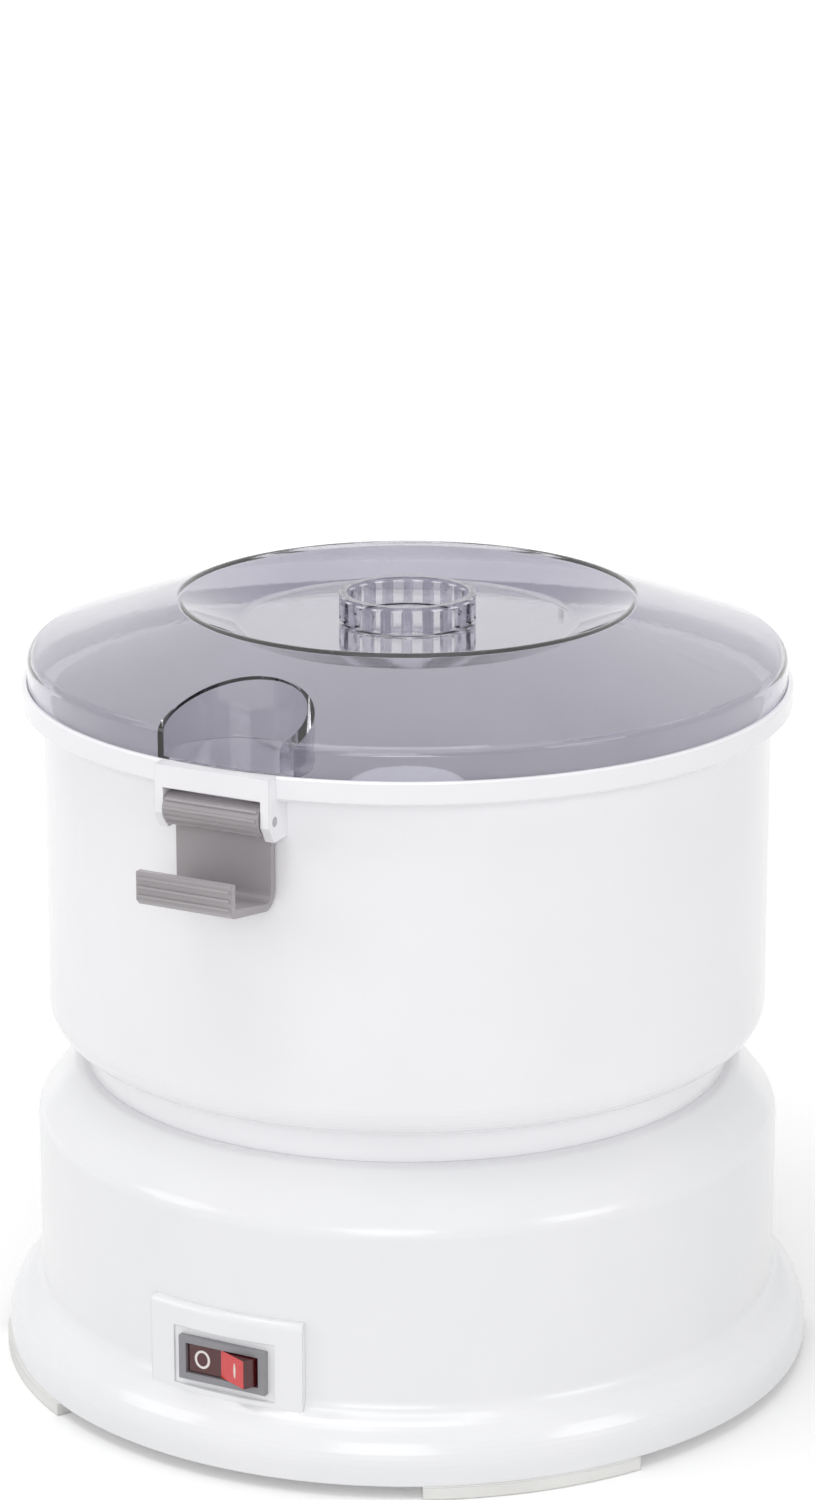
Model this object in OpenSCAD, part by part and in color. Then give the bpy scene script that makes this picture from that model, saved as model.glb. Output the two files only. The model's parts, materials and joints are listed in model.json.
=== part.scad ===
// Electric potato peeler: a base with motor and gear train, a bowl, a spinning grater disc and a clear lid.
// Millimetres. Z is up, the feet stand on z = 0, the axis of the disc is the Z axis and the switch faces -Y.
// The parts are drawn assembled: the bowl on the base, the disc in the bowl and the lid on the bowl.

/* [Base housing] */
// Outer radius of the straight wall
wall_r = 123; // [121:0.5:126]
// Width by which the flange stands out from the wall
flare_w = 11.2; // [10:0.2:14]
// Height of the flare from the band up to the wall
flare_h = 19; // [17:0.5:28]
// Height of the upright band of the flange
band_h = 5; // [4:0.5:10]
// Height of the housing from its lower edge to the seat of the bowl
housing_h = 97; // [95:0.5:101]
// Width of the shoulder from the wall in to the neck
shoulder_w = 18.8; // [17.8:0.2:23]
// Slope of the shoulder
shoulder_slope = 52; // [45:1:56]
// Height of the neck above the seat of the bowl
neck_h = 10; // [8:0.5:12]
// Thickness of the housing and of the deck
housing_t = 3; // [2:0.25:3.5]
// Height of the feet
foot_h = 4; // [3:0.5:6]
// Angle that one foot covers along the rim
foot_arc = 31; // [20:1:40]

/* [Deck and post] */
// Depth of the deck's ledge below the top of the neck
ledge_drop = 6.5; // [5:0.5:8]
// Depth of the dish below the ledge
dish_drop = 8; // [5:0.5:9]
// Radius of the cone's foot in the dish
cone_r = 59; // [45:1:68]
// Outer radius of the post around the drive coupling
post_r = 13.5; // [12.5:0.25:14]
// Radius of the opening in the post
post_bore_r = 11; // [10.6:0.2:11.6]
// Height of the post above the top of the neck
post_rise = 21; // [18:0.5:24]

/* [Switch] */
// Height of the middle of the switch above the table
switch_z = 35; // [34:0.5:40]
// Half of the angle that the switch pad covers
pad_turn = 12.5; // [11:0.5:16]
// Height by which the pad stands out from the wall
pad_proud = 3; // [2.6:0.2:4]
// Length of the switch bezel
bezel_l = 31; // [29:0.5:34]
// Height of the switch bezel
bezel_h = 14.5; // [13.5:0.5:16]
// Tilt of the rocker to each side
rocker_tilt = 11.5; // [8:0.5:13]

/* [Bowl] */
// Height of the bowl from the bottom of its skirt to its rim
bowl_h = 128.5; // [124:0.5:140]
// Thickness of the bowl wall
bowl_t = 2.6; // [2:0.1:3.2]
// Radius of the rounded lower corner
bowl_corner_r = 11; // [6:0.5:12]
// Thickness of the rim band
rim_t = 1.6; // [1.4:0.1:2.4]
// Height of the rim band
rim_h = 7.6; // [7:0.2:10]
// Outer radius of the tower in the middle of the bowl
tower_r = 17; // [16.6:0.1:17.4]
// Height of the tower above the seat of the bowl
tower_h = 63; // [60:0.5:64]

/* [Latch] */
// Width of the latch
latch_w = 33; // [28:1:40]
// Distance from the pivot down to the lowest point of the latch
latch_drop = 29; // [25:1:38]
// Reach of the finger lip out from the plate
latch_reach = 24; // [18:1:28]
// Height of the finger lip
latch_lip_h = 9; // [8:0.5:16]
// Thickness of the latch plate
latch_t = 2.4; // [1.8:0.2:3]
// Height by which the hood stands out from the rim
hood_proud = 2.7; // [2.4:0.1:4]

/* [Disc] */
// Gap between the disc and the bowl wall
disc_gap = 13.9; // [9:0.5:24]
// Height of the top of the disc's ring above the seat of the bowl
disc_z = 47.4; // [44:0.5:50]
// Width of a spoke
spoke_w = 7; // [5:0.5:10]
// Width of the outer ring
ring_w = 7; // [5:0.5:9]
// Radius of the plain middle plate
mid_plate_r = 44; // [34:1:52]
// Outer radius of the hub
hub_r = 20.5; // [20:0.25:24]
// Height of the hub above the disc's ring
hub_h = 44.6; // [43.8:0.2:50]
// Tilt of the grater plates up to their ridges
plate_tilt = 2.5; // [1.5:0.5:8]

/* [Lid] */
// Distance from the bowl wall out to the lid's skirt
lid_over = 4.9; // [4.2:0.1:6]
// Wall thickness of the lid
lid_t = 2.2; // [1.6:0.1:2.4]
// Width of the cone from the skirt in to the ridge
cone_w = 48.4; // [40:1:60]
// Slope of the lid's cone
lid_slope = 19; // [14:0.5:22]
// Depth of the recess below the ridge
recess_drop = 8.5; // [6:0.5:11]
// Outer radius of the crown in the middle
crown_r = 22.2; // [18:0.2:26]
// Height of the crown above the floor of the recess
crown_up = 9.5; // [6:0.5:14]
// Depth of the crown below the floor of the recess
crown_down = 10; // [6:0.5:12]
// Number of windows in the crown
crown_windows = 20; // [12:1:24]
// Radius of the scoop pocket
pocket_r = 22; // [18:0.5:26]

/* [Drive] */
// Module of the first gear stage
mod_1 = 0.8; // [0.7:0.05:0.8]
// Module of the second gear stage
mod_2 = 1.25; // [1.1:0.05:1.25]
// Teeth of the motor pinion
teeth_motor = 13; // [13:1:15]
// Teeth of the idler's large wheel
teeth_idler_wheel = 52; // [48:1:54]
// Teeth of the idler's pinion
teeth_idler_pinion = 14; // [14:1:16]
// Teeth of the output gear
teeth_output = 56; // [52:1:58]
// Radius of the output shaft
shaft_r = 4; // [3.6:0.2:4.4]
// Radius of the motor shaft
motor_shaft_r = 2.5; // [2.1:0.1:2.6]
// Radius of the armature
armature_r = 13; // [11.5:0.5:13.5]
// Height of the laminated stack
stack_h = 18; // [14:1:19]

/* [Hidden] */
$fn = 96;

// Clearances and cuts
run = 0.05;        // running fit, radial
push = 0.02;       // push fit, radial
gap = 0.3;         // free gap between faces of different bodies
loose = 0.5;       // wide gap round what drops into place
pin_gap = 0.35;    // gap of a hinged piece at its sides
touch = 0.1;       // air between the end of a lead and its terminal
eps = 0.01;        // overlap of pieces that are joined end to end
past = 1;          // overshoot of a cut past its piece
far = 200;         // reach of a wedge past everything

// Heights of the base
z_edge = foot_h;
z_band = z_edge + band_h;
z_wall = z_band + flare_h;
z_seat = z_edge + housing_h;
z_neck = z_seat + neck_h;
z_ledge = z_neck - ledge_drop;
z_lip = z_ledge - housing_t;
z_dish = z_ledge - dish_drop;
z_cone = z_neck - 2;
z_post = z_neck + post_rise;

// Radii and edges of the base
flange_r = wall_r + flare_w;
flare_fillet = 5;
shoulder_r = 8;
seat_edge_r = 4;
neck_r = wall_r - shoulder_w;
neck_t = 2.3;
neck_edge = 0.6;
neck_in_r = neck_r - neck_t;
seat_r = neck_r + 3.6;
lip_r = neck_in_r - 6;
edge_in_r = flange_r - housing_t;
deck_r = neck_in_r - gap;
ledge_in_r = deck_r - 4.5;
dish_r = ledge_in_r - 16;
cone_top_r = post_r + 4;
z_post_foot = z_cone + 2;
post_edge = 0.8;
deck_lap = 1;

// Hairpin ribs on the deck: middle of the bend, direction of the arms, radius and lengths of the arms
rib_w = 1.6;
rib_h = 1.2;
hairpins = [
    [[-30, -49], 0, 16, 34, 32],
    [[25, 20], 70.5, 9, 66, 11]
];

// Low ribs round the neck, as angles from +X
neck_rib_angles = [-90, -43, 0, 139, 186];
neck_rib_w = 3;
neck_rib_d = 0.8;
neck_rib_root = 1;
rib_top_gap = 3;
rib_gap = 0.5;

// Bottom plate, its feet and the deck's pillars
bottom_t = 2.5;
z_bottom = z_edge + bottom_t;
bottom_r = edge_in_r - loose;
pillar_ring_r = deck_r - 13.6;
pillar_r = 4.5;
cover_screw_r = 1.7;
cover_screw_l = 20;
pilot_spare = 4;
screw_head_r = 3.2;
screw_head_h = 2;
foot_w = 13;
foot_out_r = flange_r + 1;
centre_pad_r = 12;
vent_w = 3.5;
vent_l = 34;
vents = 9;
vent_gap = 10;

// Gear train: the idler lies on -X of the output shaft and the motor beyond it
pressure = 25;
backlash = 0.16;
idler_x = -mod_2 * (teeth_idler_pinion + teeth_output) / 2;
motor_x = idler_x - mod_1 * (teeth_motor + teeth_idler_wheel) / 2;
wheel_h = 5;
wheel_gap = 2;
gear_h = 9;
gear_over = 1;
pinion_over = 0.5;
z_wheel = z_bottom + 5.5;
z_gear = z_wheel + wheel_h + wheel_gap;
z_gear_top = z_gear + gear_h;
z_plate = z_gear_top + 3.5;
plate_t = 2.5;
z_plate_top = z_plate + plate_t;
idler_pin_r = 2.5;
idler_boss_r = idler_pin_r + 2.5;
idler_hub_r = mod_2 * teeth_idler_pinion / 2 - 1.25 * mod_2 - 0.4;
pin_sink = 1;
thrust_gap = 0.1;
output_hub_r = 10;
output_lift = 2;
web_r = mod_2 * teeth_output / 2 - 5;
web_d = 2.5;
web_holes = 6;
web_hole_r = 5;
bush_t = 4;
bush_over = 0.5;

// Gear plate
gear_plate_y = 36;
gear_plate_x0 = motor_x - 33;
gear_plate_x1 = mod_2 * teeth_output / 2 + 15;
plate_corner_r = 5;
plate_post_r = 4;
plate_post_in = 6;
plate_post_xs = [gear_plate_x0 + plate_post_in, gear_plate_x1 - plate_post_in];
plate_post_y = gear_plate_y - plate_post_in;
plate_screw_r = 1.5;
plate_screw_l = 8;
plate_head_r = 2.8;
plate_pilot = 10;
shaft_gap = 1;

// Motor
stack_x = 25;
stack_y = 31;
bore_r = armature_r + 0.5;
shoe_t = 2;
shoe_turn = 55;
pole_x = 8;
yoke_x = 6;
yoke_y = 8;
z_fan = z_plate_top + 1.5;
fan_h = 4;
fan_r = 22;
fan_t = 1;
fan_hub_r = 6;
fan_blades = 11;
fan_edge = 0.5;
z_stack = z_plate_top + 12;
z_stack_top = z_stack + stack_h;
coil_w = 5.6;
coil_t = 6;
coil_gap = 0.3;
winding_h = 5;
winding_r = armature_r - 2.2;
winding_edge = 1.2;
winding_gap = 0.2;
slots = 12;
slot_at = armature_r - 3.4;
slot_r = 1.6;
slot_mouth = 0.8;
wire_r = 1.5;
wire_over = 0.5;
z_comm = z_stack_top + winding_h + 1.5;
comm_h = 8;
comm_r = 7;
comm_cut_w = 0.5;
comm_cut_d = 1;
z_bracket = z_comm + comm_h + 2.5;
bracket_t = 2.5;
arm_w = 8;
bar_w = 12;
bolt_x = 21;
bolt_y = 27;
bolt_head_r = 2.8;
sleeve_r = 3.5;
bolt_pad_r = sleeve_r + 0.8;
motor_bolt_r = 1.5;
motor_bush_r = 5.5;
bush_wall = 3;
z_shaft_low = z_wheel - 1.5;
z_shaft_top = z_bracket + bracket_t + 1;
brush_w = 5;
brush_l = 9;
z_holder = z_comm + 1;
holder_wall = 1.5;
holder_back = 1;
holder_at = comm_r + 1.2;
holder_l = brush_l + 2;

// Output shaft, coupling and seal in the deck's boss
z_boss = z_cone - 16;
z_post_floor = z_neck + 4;
bush_out_r = 8;
z_seal_top = z_post_floor + 4;
shaft_foot = 0.5;
coupling_r = 6.25;
coupling_flange_r = 8;
coupling_flange_t = 1;
coupling_cap_t = 3;
coupling_h = 10.5;
z_coupling = z_seal_top + gap;
z_coupling_top = z_coupling + coupling_h;
circlip_t = 0.8;
circlip_w = 3;
circlip_up = 0.6;

// Interlock: a plunger in the deck under the foot of a rod that runs down the back of the bowl
travel = 2.5;
plunger_y = deck_r - 12.1;
plunger_r = 3;
plunger_flange = 1;
stem_r = 1.8;
stem_gap = 0.1;
stem_out = 3;
guide_r = 5.2;
rod_w = 6;
rod_t = 2.4;
rod_gap = 0.4;
rod_foot_t = 2.8;
rod_foot_in = 2.5;
rod_foot_w = rod_w + 2;
z_rod_foot = z_neck - 3.2;
z_foot_low = z_rod_foot - travel - gap;
z_plunger_top = z_rod_foot - gap;
z_platform = z_plunger_top - travel - 0.2;
platform_w = 20;
platform_in = 9.5;
z_guide_low = z_dish - 2;
leg_w = 8;
leg_t = 2;
leg_gap = 0.2;
shelf_t = 2;
z_shelf = z_guide_low - 14;
flange_t = 1.5;
z_flange = z_guide_low - flange_t - run;
spring_turns = 6;
spring_wire_r = 0.4;
spring_coil_r = 2.6;
interlock_w = 20;
interlock_d = 6.5;
interlock_h = 10;
z_interlock = z_shelf - 6.2;
ear_x = 4.5;
ear_t = 2;
ear_lap = 0.1;

// Switch and its pad
pad_r = wall_r + pad_proud;
pad_face = pad_r - 1.8;
pad_low = z_wall - flare_fillet - 0.5;
pad_top = switch_z + 17.5;
pad_edge_r = 2;
pad_back = 1;
flat_w = bezel_l + 5;
flat_h = bezel_h + 5;
bezel_proud = 2;
body_l = bezel_l - 2.4;
body_h = bezel_h - 1.8;
body_d = 20;
cavity_l = body_l - 2.6;
cavity_h = body_h - 2.6;
cavity_d = 11;
rocker_pivot = 2.5;
rocker_r = cavity_l / 2 - gap;
rocker_h = cavity_h - 2 * pin_gap;
rocker_mid = 3.6;
rocker_end = 6.2;
rocker_back = 3;
rocker_back_w = 6;
rocker_heel = 1;
rocker_over = 20;
rocker_pin_r = 1;
pin_wall = 0.3;
pin_end = 0.5;
terminal_pitch = 9;
spade = [0.8, 7, 6.3];

// Cord inlet at the back of the base
inlet_z = 50;
inlet_r = 3.6;
inlet_face = wall_r + 1;
inlet_wall = housing_t + 3;
inlet_boss_r = 11;
grommet_r = 6.5;
grommet_flange_r = 9;
grommet_back_r = 8.5;
grommet_flange_t = 2;

// Electrics on the bottom plate
terminal = [30, 14, 14];
terminal_y = pillar_ring_r * cos(45);
terminal_ways = 3;
terminal_r = 1.8;
terminal_screw_y = 4;
capacitor = [11, 22, 18];
capacitor_x = gear_plate_x1 + 8;
capacitor_y = 34;
lead_r = 1.1;
lead_up = 7;
lead_x = 10;

// Bowl
skirt_in_r = neck_r + 0.4;
skirt_t = 2;
skirt_r = skirt_in_r + skirt_t;
bowl_flat = 0.9;
corner_x = skirt_r + bowl_flat;
bowl_r = corner_x + bowl_corner_r;
lid_r = bowl_r + lid_over;
rim_in_r = lid_r + gap;
rim_r = rim_in_r + rim_t;
rim_edge = 0.6;
rim_low_edge = 0.8;
rim_fillet = 1;
z_under = z_neck + gap;
z_floor = z_under + bowl_t;
z_rim = z_seat + bowl_h;
z_rim_low = z_rim - rim_h;
z_lid = z_rim - 6;
tower_in_r = tower_r - 2;
tower_foot_r = 3;
tower_edge = 1;
z_tower = z_seat + tower_h;
z_bush = z_tower - 14;
bush_bore_r = 9;
bush_shelf = 2;
seal_h = 3;
rod_y = bowl_r + 0.8;
rod_slot_w = 2;
rod_slot_h = 4.6;
rod_end_drop = 0.6;
channel_w = rod_w + 2 * rod_gap + 4;
channel_t = 2;
channel_root = 3;

// Hook tab of the lid, latch and hood under the rim
tab_w = 21;
tab_drop = 2;
tab_gap = 0.4;
tab_side = 1;
barrel_r = 5;
grip_d = 0.6;
grip_w = 1;
grip_l = latch_w - 1;
grip_turns = [140, 170, 200, 230];
pivot_y = -(bowl_r + gap + barrel_r + grip_d);
pivot_z = z_lid - tab_drop - gap - barrel_r - grip_d;
latch_pin_r = 1.5;
latch_back = pivot_y + barrel_r + grip_d;
latch_low = pivot_z - latch_drop;
latch_rise = 5;
latch_bend_r = 5;
lip_edge = 1.6;
lip_ribs = 3;
lip_rib_pitch = 2.8;
barrel_root = 3;
hood_t = 3;
hood_in = latch_w / 2 + pin_gap;
hood_out = hood_in + hood_t;
hood_front = rim_r + hood_proud;
hood_root = 6;
z_hood = z_rim_low + 0.4;
cheek_drop = 6.5;
cheek_edge = 3;

// Spindle
spindle_r = 5;
spindle_gap = 2.5;
spindle_neck_r = 7;
collar_r = 10;
collar_h = 4;
hex_r = 7;
hex_h = 14;
z_neck_low = z_tower - seal_h;
z_collar = z_tower + 3;
z_hex = z_collar + collar_h;
dog_r = 9.5;
dog_h = 18;
dog_fit = 0.25;
dog_floor = 2;
z_dog = z_coupling + 1.8;
z_dog_top = z_dog + dog_h;
z_spindle = z_dog_top - 5;

// Disc
disc_r = bowl_r - bowl_t - disc_gap;
disc_turn = -4.5;
z_ring = z_seat + disc_z;
frame_t = 4;
z_frame = z_ring - frame_t;
spoke_t = 3.2;
ring_edge_r = 2;
ring_low_edge = 1;
ledge_h = 1.5;
ledge_w = 1.5;
sheet_t = 0.8;
hub_t = 2;
hub_cap_t = 3;
hub_edge_r = 4;
hub_foot_r = 8;
z_hub = z_ring + hub_h;
plates = 6;
window_out_r = disc_r - ring_w;
socket_r = 11;
socket_fit = 0.2;

// Lid, heights from the bottom of its skirt
shoulder_arc = 3.5;
shoulder_h = 13;
ridge_r = lid_r - cone_w;
ridge_arc = 3;
recess_slope = 25;
recess_arc = 4;
notch_left = 29;
notch_right = 16;
pocket_y = -(lid_r - 10.4);
pocket_floor = 4.5;
crown_t = 2.4;
crown_band = 1.6;
crown_foot = 0.8;

// ---- shared outlines ----

// Points of an arc from angle a to angle b about [x, y]
function arc(x, y, r, a, b, n = 8, first = 0) =
    [for (i = [first:n]) [x + r * cos(a + (b - a) * i / n), y + r * sin(a + (b - a) * i / n)]];

function reversed(p) = [for (i = [len(p) - 1:-1:0]) p[i]];
function polar(r, a) = [r * cos(a), r * sin(a)];
// Wide wedge between two angles, to cut arcs out of rings
function wedge(a, b) = [[0, 0], polar(far, a), polar(far, b)];

// Shells turned about the axis stay smooth with this many steps
module turned() { rotate_extrude($fn = 180) children(); }

module tube(r_out, r_in, h) {
    difference() {
        cylinder(r = r_out, h = h);
        translate([0, 0, -eps]) cylinder(r = r_in, h = h + 2 * eps);
    }
}

module four(x, y) {
    for (sx = [-1, 1], sy = [-1, 1])
        translate([sx * x, sy * y, 0]) children();
}

// The four pillars of the deck and their screws
module each_pillar() {
    for (a = [45:90:315]) rotate([0, 0, a]) translate([pillar_ring_r, 0, 0]) children();
}

module each_plate_post() {
    for (x = plate_post_xs, s = [-1, 1]) translate([x, s * plate_post_y, 0]) children();
}

// A side view in Y and Z drawn out along X
module across(w) { translate([-w / 2, 0, 0]) rotate([90, 0, 90]) linear_extrude(w) children(); }

// Involute gear outline
function inv(a) = tan(a) * 180 / PI - a;
function tooth_half(teeth, r, rp) =
    90 / teeth + inv(pressure) - inv(acos(min(1, rp * cos(pressure) / r)))
    - backlash / 4 / rp * 180 / PI;
function tooth(teeth, m, c) =
    let (rp = teeth * m / 2, rb = rp * cos(pressure), rf = rp - 1.25 * m, ra = rp + m,
         r0 = max(rb, rf), n = 4,
         root = rf < rb ? [rf] : [])
    concat(
        [for (r = root) polar(r, c - tooth_half(teeth, r0, rp))],
        [for (i = [0:n]) let (r = r0 + (ra - r0) * i / n) polar(r, c - tooth_half(teeth, r, rp))],
        [for (i = [n:-1:0]) let (r = r0 + (ra - r0) * i / n) polar(r, c + tooth_half(teeth, r, rp))],
        [for (r = root) polar(r, c + tooth_half(teeth, r0, rp))]
    );
module gear_outline(teeth, m) {
    polygon([for (i = [0:teeth - 1]) each tooth(teeth, m, 360 * i / teeth)]);
}
// A gear whose tooth space, not a tooth, points at the given angle
module meshed(teeth, toward) { rotate([0, 0, toward + 180 / teeth]) children(); }

module screw(r, length, head_r, head_h) {
    cylinder(r = head_r, h = head_h);
    translate([0, 0, head_h - eps]) cylinder(r = r, h = length);
}

// ---- base ----

// Outer line of the housing from its lower edge up to the seat, moved inwards by t
function housing_line(t) =
    let (th = 2 * atan(flare_w / flare_h), bulge = flare_h / sin(th) - flare_fillet,
         b = 90 - shoulder_slope, up_z = z_seat - seat_edge_r,
         run_x = wall_r - seat_r - shoulder_r + (shoulder_r - seat_edge_r) * cos(b),
         low_z = up_z + (seat_edge_r - shoulder_r) * sin(b) - run_x * tan(shoulder_slope))
    concat(
        [[flange_r - t, z_edge]],
        arc(flange_r - bulge, z_band, bulge - t, 0, th, 10),
        arc(wall_r + flare_fillet, z_wall, flare_fillet + t, 180 + th, 180, 6, 1),
        arc(wall_r - shoulder_r, low_z, shoulder_r - t, 0, b, 6),
        arc(seat_r, up_z, seat_edge_r - t, b, 90, 6)
    );

module base_housing() {
    color("white") difference() {
        union() {
            turned() polygon(concat(
                housing_line(0),
                [[neck_r, z_seat], [neck_r, z_neck - neck_edge], [neck_r - neck_edge, z_neck],
                 [neck_in_r, z_neck], [neck_in_r, z_lip], [lip_r, z_lip], [lip_r, z_seat - housing_t]],
                reversed(housing_line(housing_t))
            ));
            for (a = neck_rib_angles) rotate([0, 0, a]) neck_rib(0);
            switch_pad();
            // boss with a flat face on both sides for the grommet
            translate([0, inlet_face, inlet_z]) rotate([90, 0, 0]) cylinder(r = inlet_boss_r, h = inlet_wall);
        }
        // notch in the neck for the foot of the interlock rod
        translate([-rod_foot_w / 2, neck_in_r - 2 * neck_t, z_foot_low])
            cube([rod_foot_w, 4 * neck_t, neck_h]);
        switch_hole();
        translate([0, inlet_face + past, inlet_z]) rotate([90, 0, 0])
            cylinder(r = grommet_r + push, h = inlet_wall + 2 * past);
    }
}

module neck_rib(grow) {
    translate([neck_r - neck_rib_root, -neck_rib_w / 2 - grow, z_seat - grow])
        cube([neck_rib_root + neck_rib_d + grow, neck_rib_w + 2 * grow, neck_h - rib_top_gap + 2 * grow]);
}

// Raised pad that follows the wall, with a flat pocket for the bezel
module switch_pad() {
    difference() {
        intersection() {
            turned() polygon(concat(
                [[wall_r - pad_back, pad_low], [pad_r, pad_low]],
                arc(pad_r - pad_edge_r, pad_top - pad_edge_r, pad_edge_r, 0, 90, 4),
                [[wall_r - pad_back, pad_top]]
            ));
            linear_extrude(z_seat) polygon(wedge(-90 - pad_turn, -90 + pad_turn));
        }
        translate([-flat_w / 2, -pad_r - past, switch_z - flat_h / 2])
            cube([flat_w, pad_r + past - pad_face, flat_h]);
    }
}

module switch_hole() {
    translate([-body_l / 2 - gap, -pad_r - past, switch_z - body_h / 2 - gap])
        cube([body_l + 2 * gap, body_d, body_h + 2 * gap]);
}

// Top line of the deck from its rim to the post, raised by up
function deck_line(up) = [
    [deck_r, z_ledge + up], [ledge_in_r, z_ledge + up],
    [dish_r, z_dish + up], [cone_r, z_dish + up], [cone_top_r, z_cone + up], [post_r, z_post_foot + up]
];
// The post, its bore and the seat of the bush
post_line = [
    [post_r, z_post - post_edge], [post_r - post_edge, z_post], [post_bore_r, z_post],
    [post_bore_r, z_post_floor], [bush_out_r + push, z_post_floor], [bush_out_r + push, z_boss],
    [post_r, z_boss], [post_r, z_cone - housing_t]
];

module top_deck() {
    color("white") difference() {
        union() {
            turned() polygon(concat(
                deck_line(0), post_line,
                [[cone_r, z_dish - housing_t], [dish_r + deck_lap, z_dish - housing_t],
                 [ledge_in_r - deck_lap, z_lip], [deck_r, z_lip]]
            ));
            for (h = hairpins) deck_rib(h);
            intersection() {
                union() {
                    translate([0, 0, z_bottom]) each_pillar() cylinder(r = pillar_r, h = z_ledge - z_bottom);
                    spring_frame();
                }
                turned() polygon(concat(
                    [[0, z_bottom], [deck_r, z_bottom]], deck_line(-deck_lap), [[0, z_cone]]
                ));
            }
            platform();
            translate([0, plunger_y, z_guide_low]) cylinder(r = guide_r, h = z_platform - z_guide_low - past);
        }
        translate([0, 0, z_bottom - eps]) each_pillar()
            cylinder(r = cover_screw_r, h = cover_screw_l + pilot_spare);
        translate([0, plunger_y, z_shelf - eps]) cylinder(r = stem_r + stem_gap, h = shelf_t + past);
        translate([0, plunger_y, z_guide_low - eps]) cylinder(r = plunger_r + run, h = z_post - z_guide_low);
    }
}

// Raised hairpin on the deck: [middle of the bend, direction of the arms, radius, left arm, right arm]
module deck_rib(h) {
    out_r = h[2] + rib_w / 2;
    in_r = h[2] - rib_w / 2;
    intersection() {
        turned() polygon(concat(deck_line(rib_h), reversed(deck_line(-deck_lap))));
        translate([h[0][0], h[0][1], z_dish - past]) rotate([0, 0, h[1]]) linear_extrude(z_neck)
            polygon(concat(
            arc(0, 0, out_r, 270, 90, 14), [[h[3], out_r], [h[3], in_r]],
            arc(0, 0, in_r, 90, 270, 14), [[h[4], -in_r], [h[4], -out_r]]
        ));
    }
}

// Block on the deck's slope that the plunger comes up through
module platform() {
    y0 = plunger_y - platform_in;
    intersection() {
        translate([-platform_w / 2, y0, z_dish - past])
            cube([platform_w, deck_r - past - y0, z_platform - z_dish + past]);
        turned() polygon([
            [cone_r, z_dish - deck_lap], [dish_r, z_dish - deck_lap], [ledge_in_r, z_ledge - deck_lap],
            [deck_r, z_ledge - deck_lap], [deck_r, z_neck], [cone_r, z_neck]
        ]);
    }
}

// Frame under the deck that holds the spring and the interlock switch
module spring_frame() {
    for (s = [-1, 1])
        translate([s * (guide_r + leg_gap + leg_t / 2) - leg_t / 2, plunger_y - leg_w / 2, z_shelf])
        cube([leg_t, leg_w, z_ledge - z_shelf]);
    translate([-guide_r - leg_t, plunger_y - leg_w / 2, z_shelf])
        cube([2 * (guide_r + leg_t), leg_w, shelf_t]);
}

module bottom_plate() {
    color("whitesmoke") difference() {
        translate([0, 0, z_edge]) union() {
            cylinder(r = bottom_r, h = bottom_t, $fn = 180);
            each_plate_post() cylinder(r = plate_post_r, h = z_plate - z_edge);
            cylinder(r = output_hub_r, h = bottom_t + bush_t);
            translate([idler_x, 0, 0]) cylinder(r = idler_boss_r, h = bottom_t + bush_t);
        }
        translate([0, 0, z_bottom]) cylinder(r = bush_out_r + push, h = bush_t + past);
        translate([idler_x, 0, z_bottom - pin_sink])
            cylinder(r = idler_pin_r + push, h = bush_t + pin_sink + past);
        each_pillar() cylinder(r = cover_screw_r + push, h = z_bottom + past);
        translate([0, 0, z_plate - plate_pilot]) each_plate_post()
            cylinder(r = plate_screw_r, h = plate_pilot + past);
        for (i = [0:vents - 1])
            translate([gear_plate_x1 + vent_gap + 2 * vent_w * i, -vent_l / 2, z_edge - past])
            cube([vent_w, vent_l, bottom_t + 2 * past]);
    }
}

// Four arcs under the rim and one round pad under the middle
module foot_pads() {
    color("white") {
        for (a = [45:90:315]) rotate([0, 0, a]) linear_extrude(foot_h) intersection() {
            difference() { circle(r = foot_out_r, $fn = 180); circle(r = foot_out_r - foot_w, $fn = 180); }
            polygon(wedge(-foot_arc / 2, foot_arc / 2));
        }
        cylinder(r = centre_pad_r, h = foot_h);
    }
}

module cover_screws() {
    color("silver") translate([0, 0, z_edge - screw_head_h]) each_pillar()
        screw(cover_screw_r - push, cover_screw_l, screw_head_r, screw_head_h);
}

module gear_plate() {
    w = gear_plate_x1 - gear_plate_x0;
    color("silver") translate([0, 0, z_plate]) difference() {
        linear_extrude(plate_t) union() {
            translate([gear_plate_x0 + plate_corner_r, -gear_plate_y])
                square([w - 2 * plate_corner_r, 2 * gear_plate_y]);
            translate([gear_plate_x0, -gear_plate_y + plate_corner_r])
                square([w, 2 * (gear_plate_y - plate_corner_r)]);
            for (x = [gear_plate_x0 + plate_corner_r, gear_plate_x1 - plate_corner_r], s = [-1, 1])
                translate([x, s * (gear_plate_y - plate_corner_r)]) circle(r = plate_corner_r);
        }
        translate([0, 0, -past]) plate_holes(plate_t + 2 * past);
    }
}

module plate_holes(h) {
    cylinder(r = shaft_r + shaft_gap, h = h);
    translate([idler_x, 0, 0]) cylinder(r = idler_pin_r + push, h = h);
    translate([motor_x, 0, 0]) {
        cylinder(r = motor_bush_r + push, h = h);
        four(bolt_x, bolt_y) cylinder(r = motor_bolt_r + push, h = h);
    }
    each_plate_post() cylinder(r = plate_screw_r + push, h = h);
}

module gear_plate_screws() {
    color("gainsboro") translate([0, 0, z_plate_top + screw_head_h]) each_plate_post() mirror([0, 0, 1])
        screw(plate_screw_r - push, plate_screw_l, plate_head_r, screw_head_h);
}

// ---- motor ----

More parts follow.
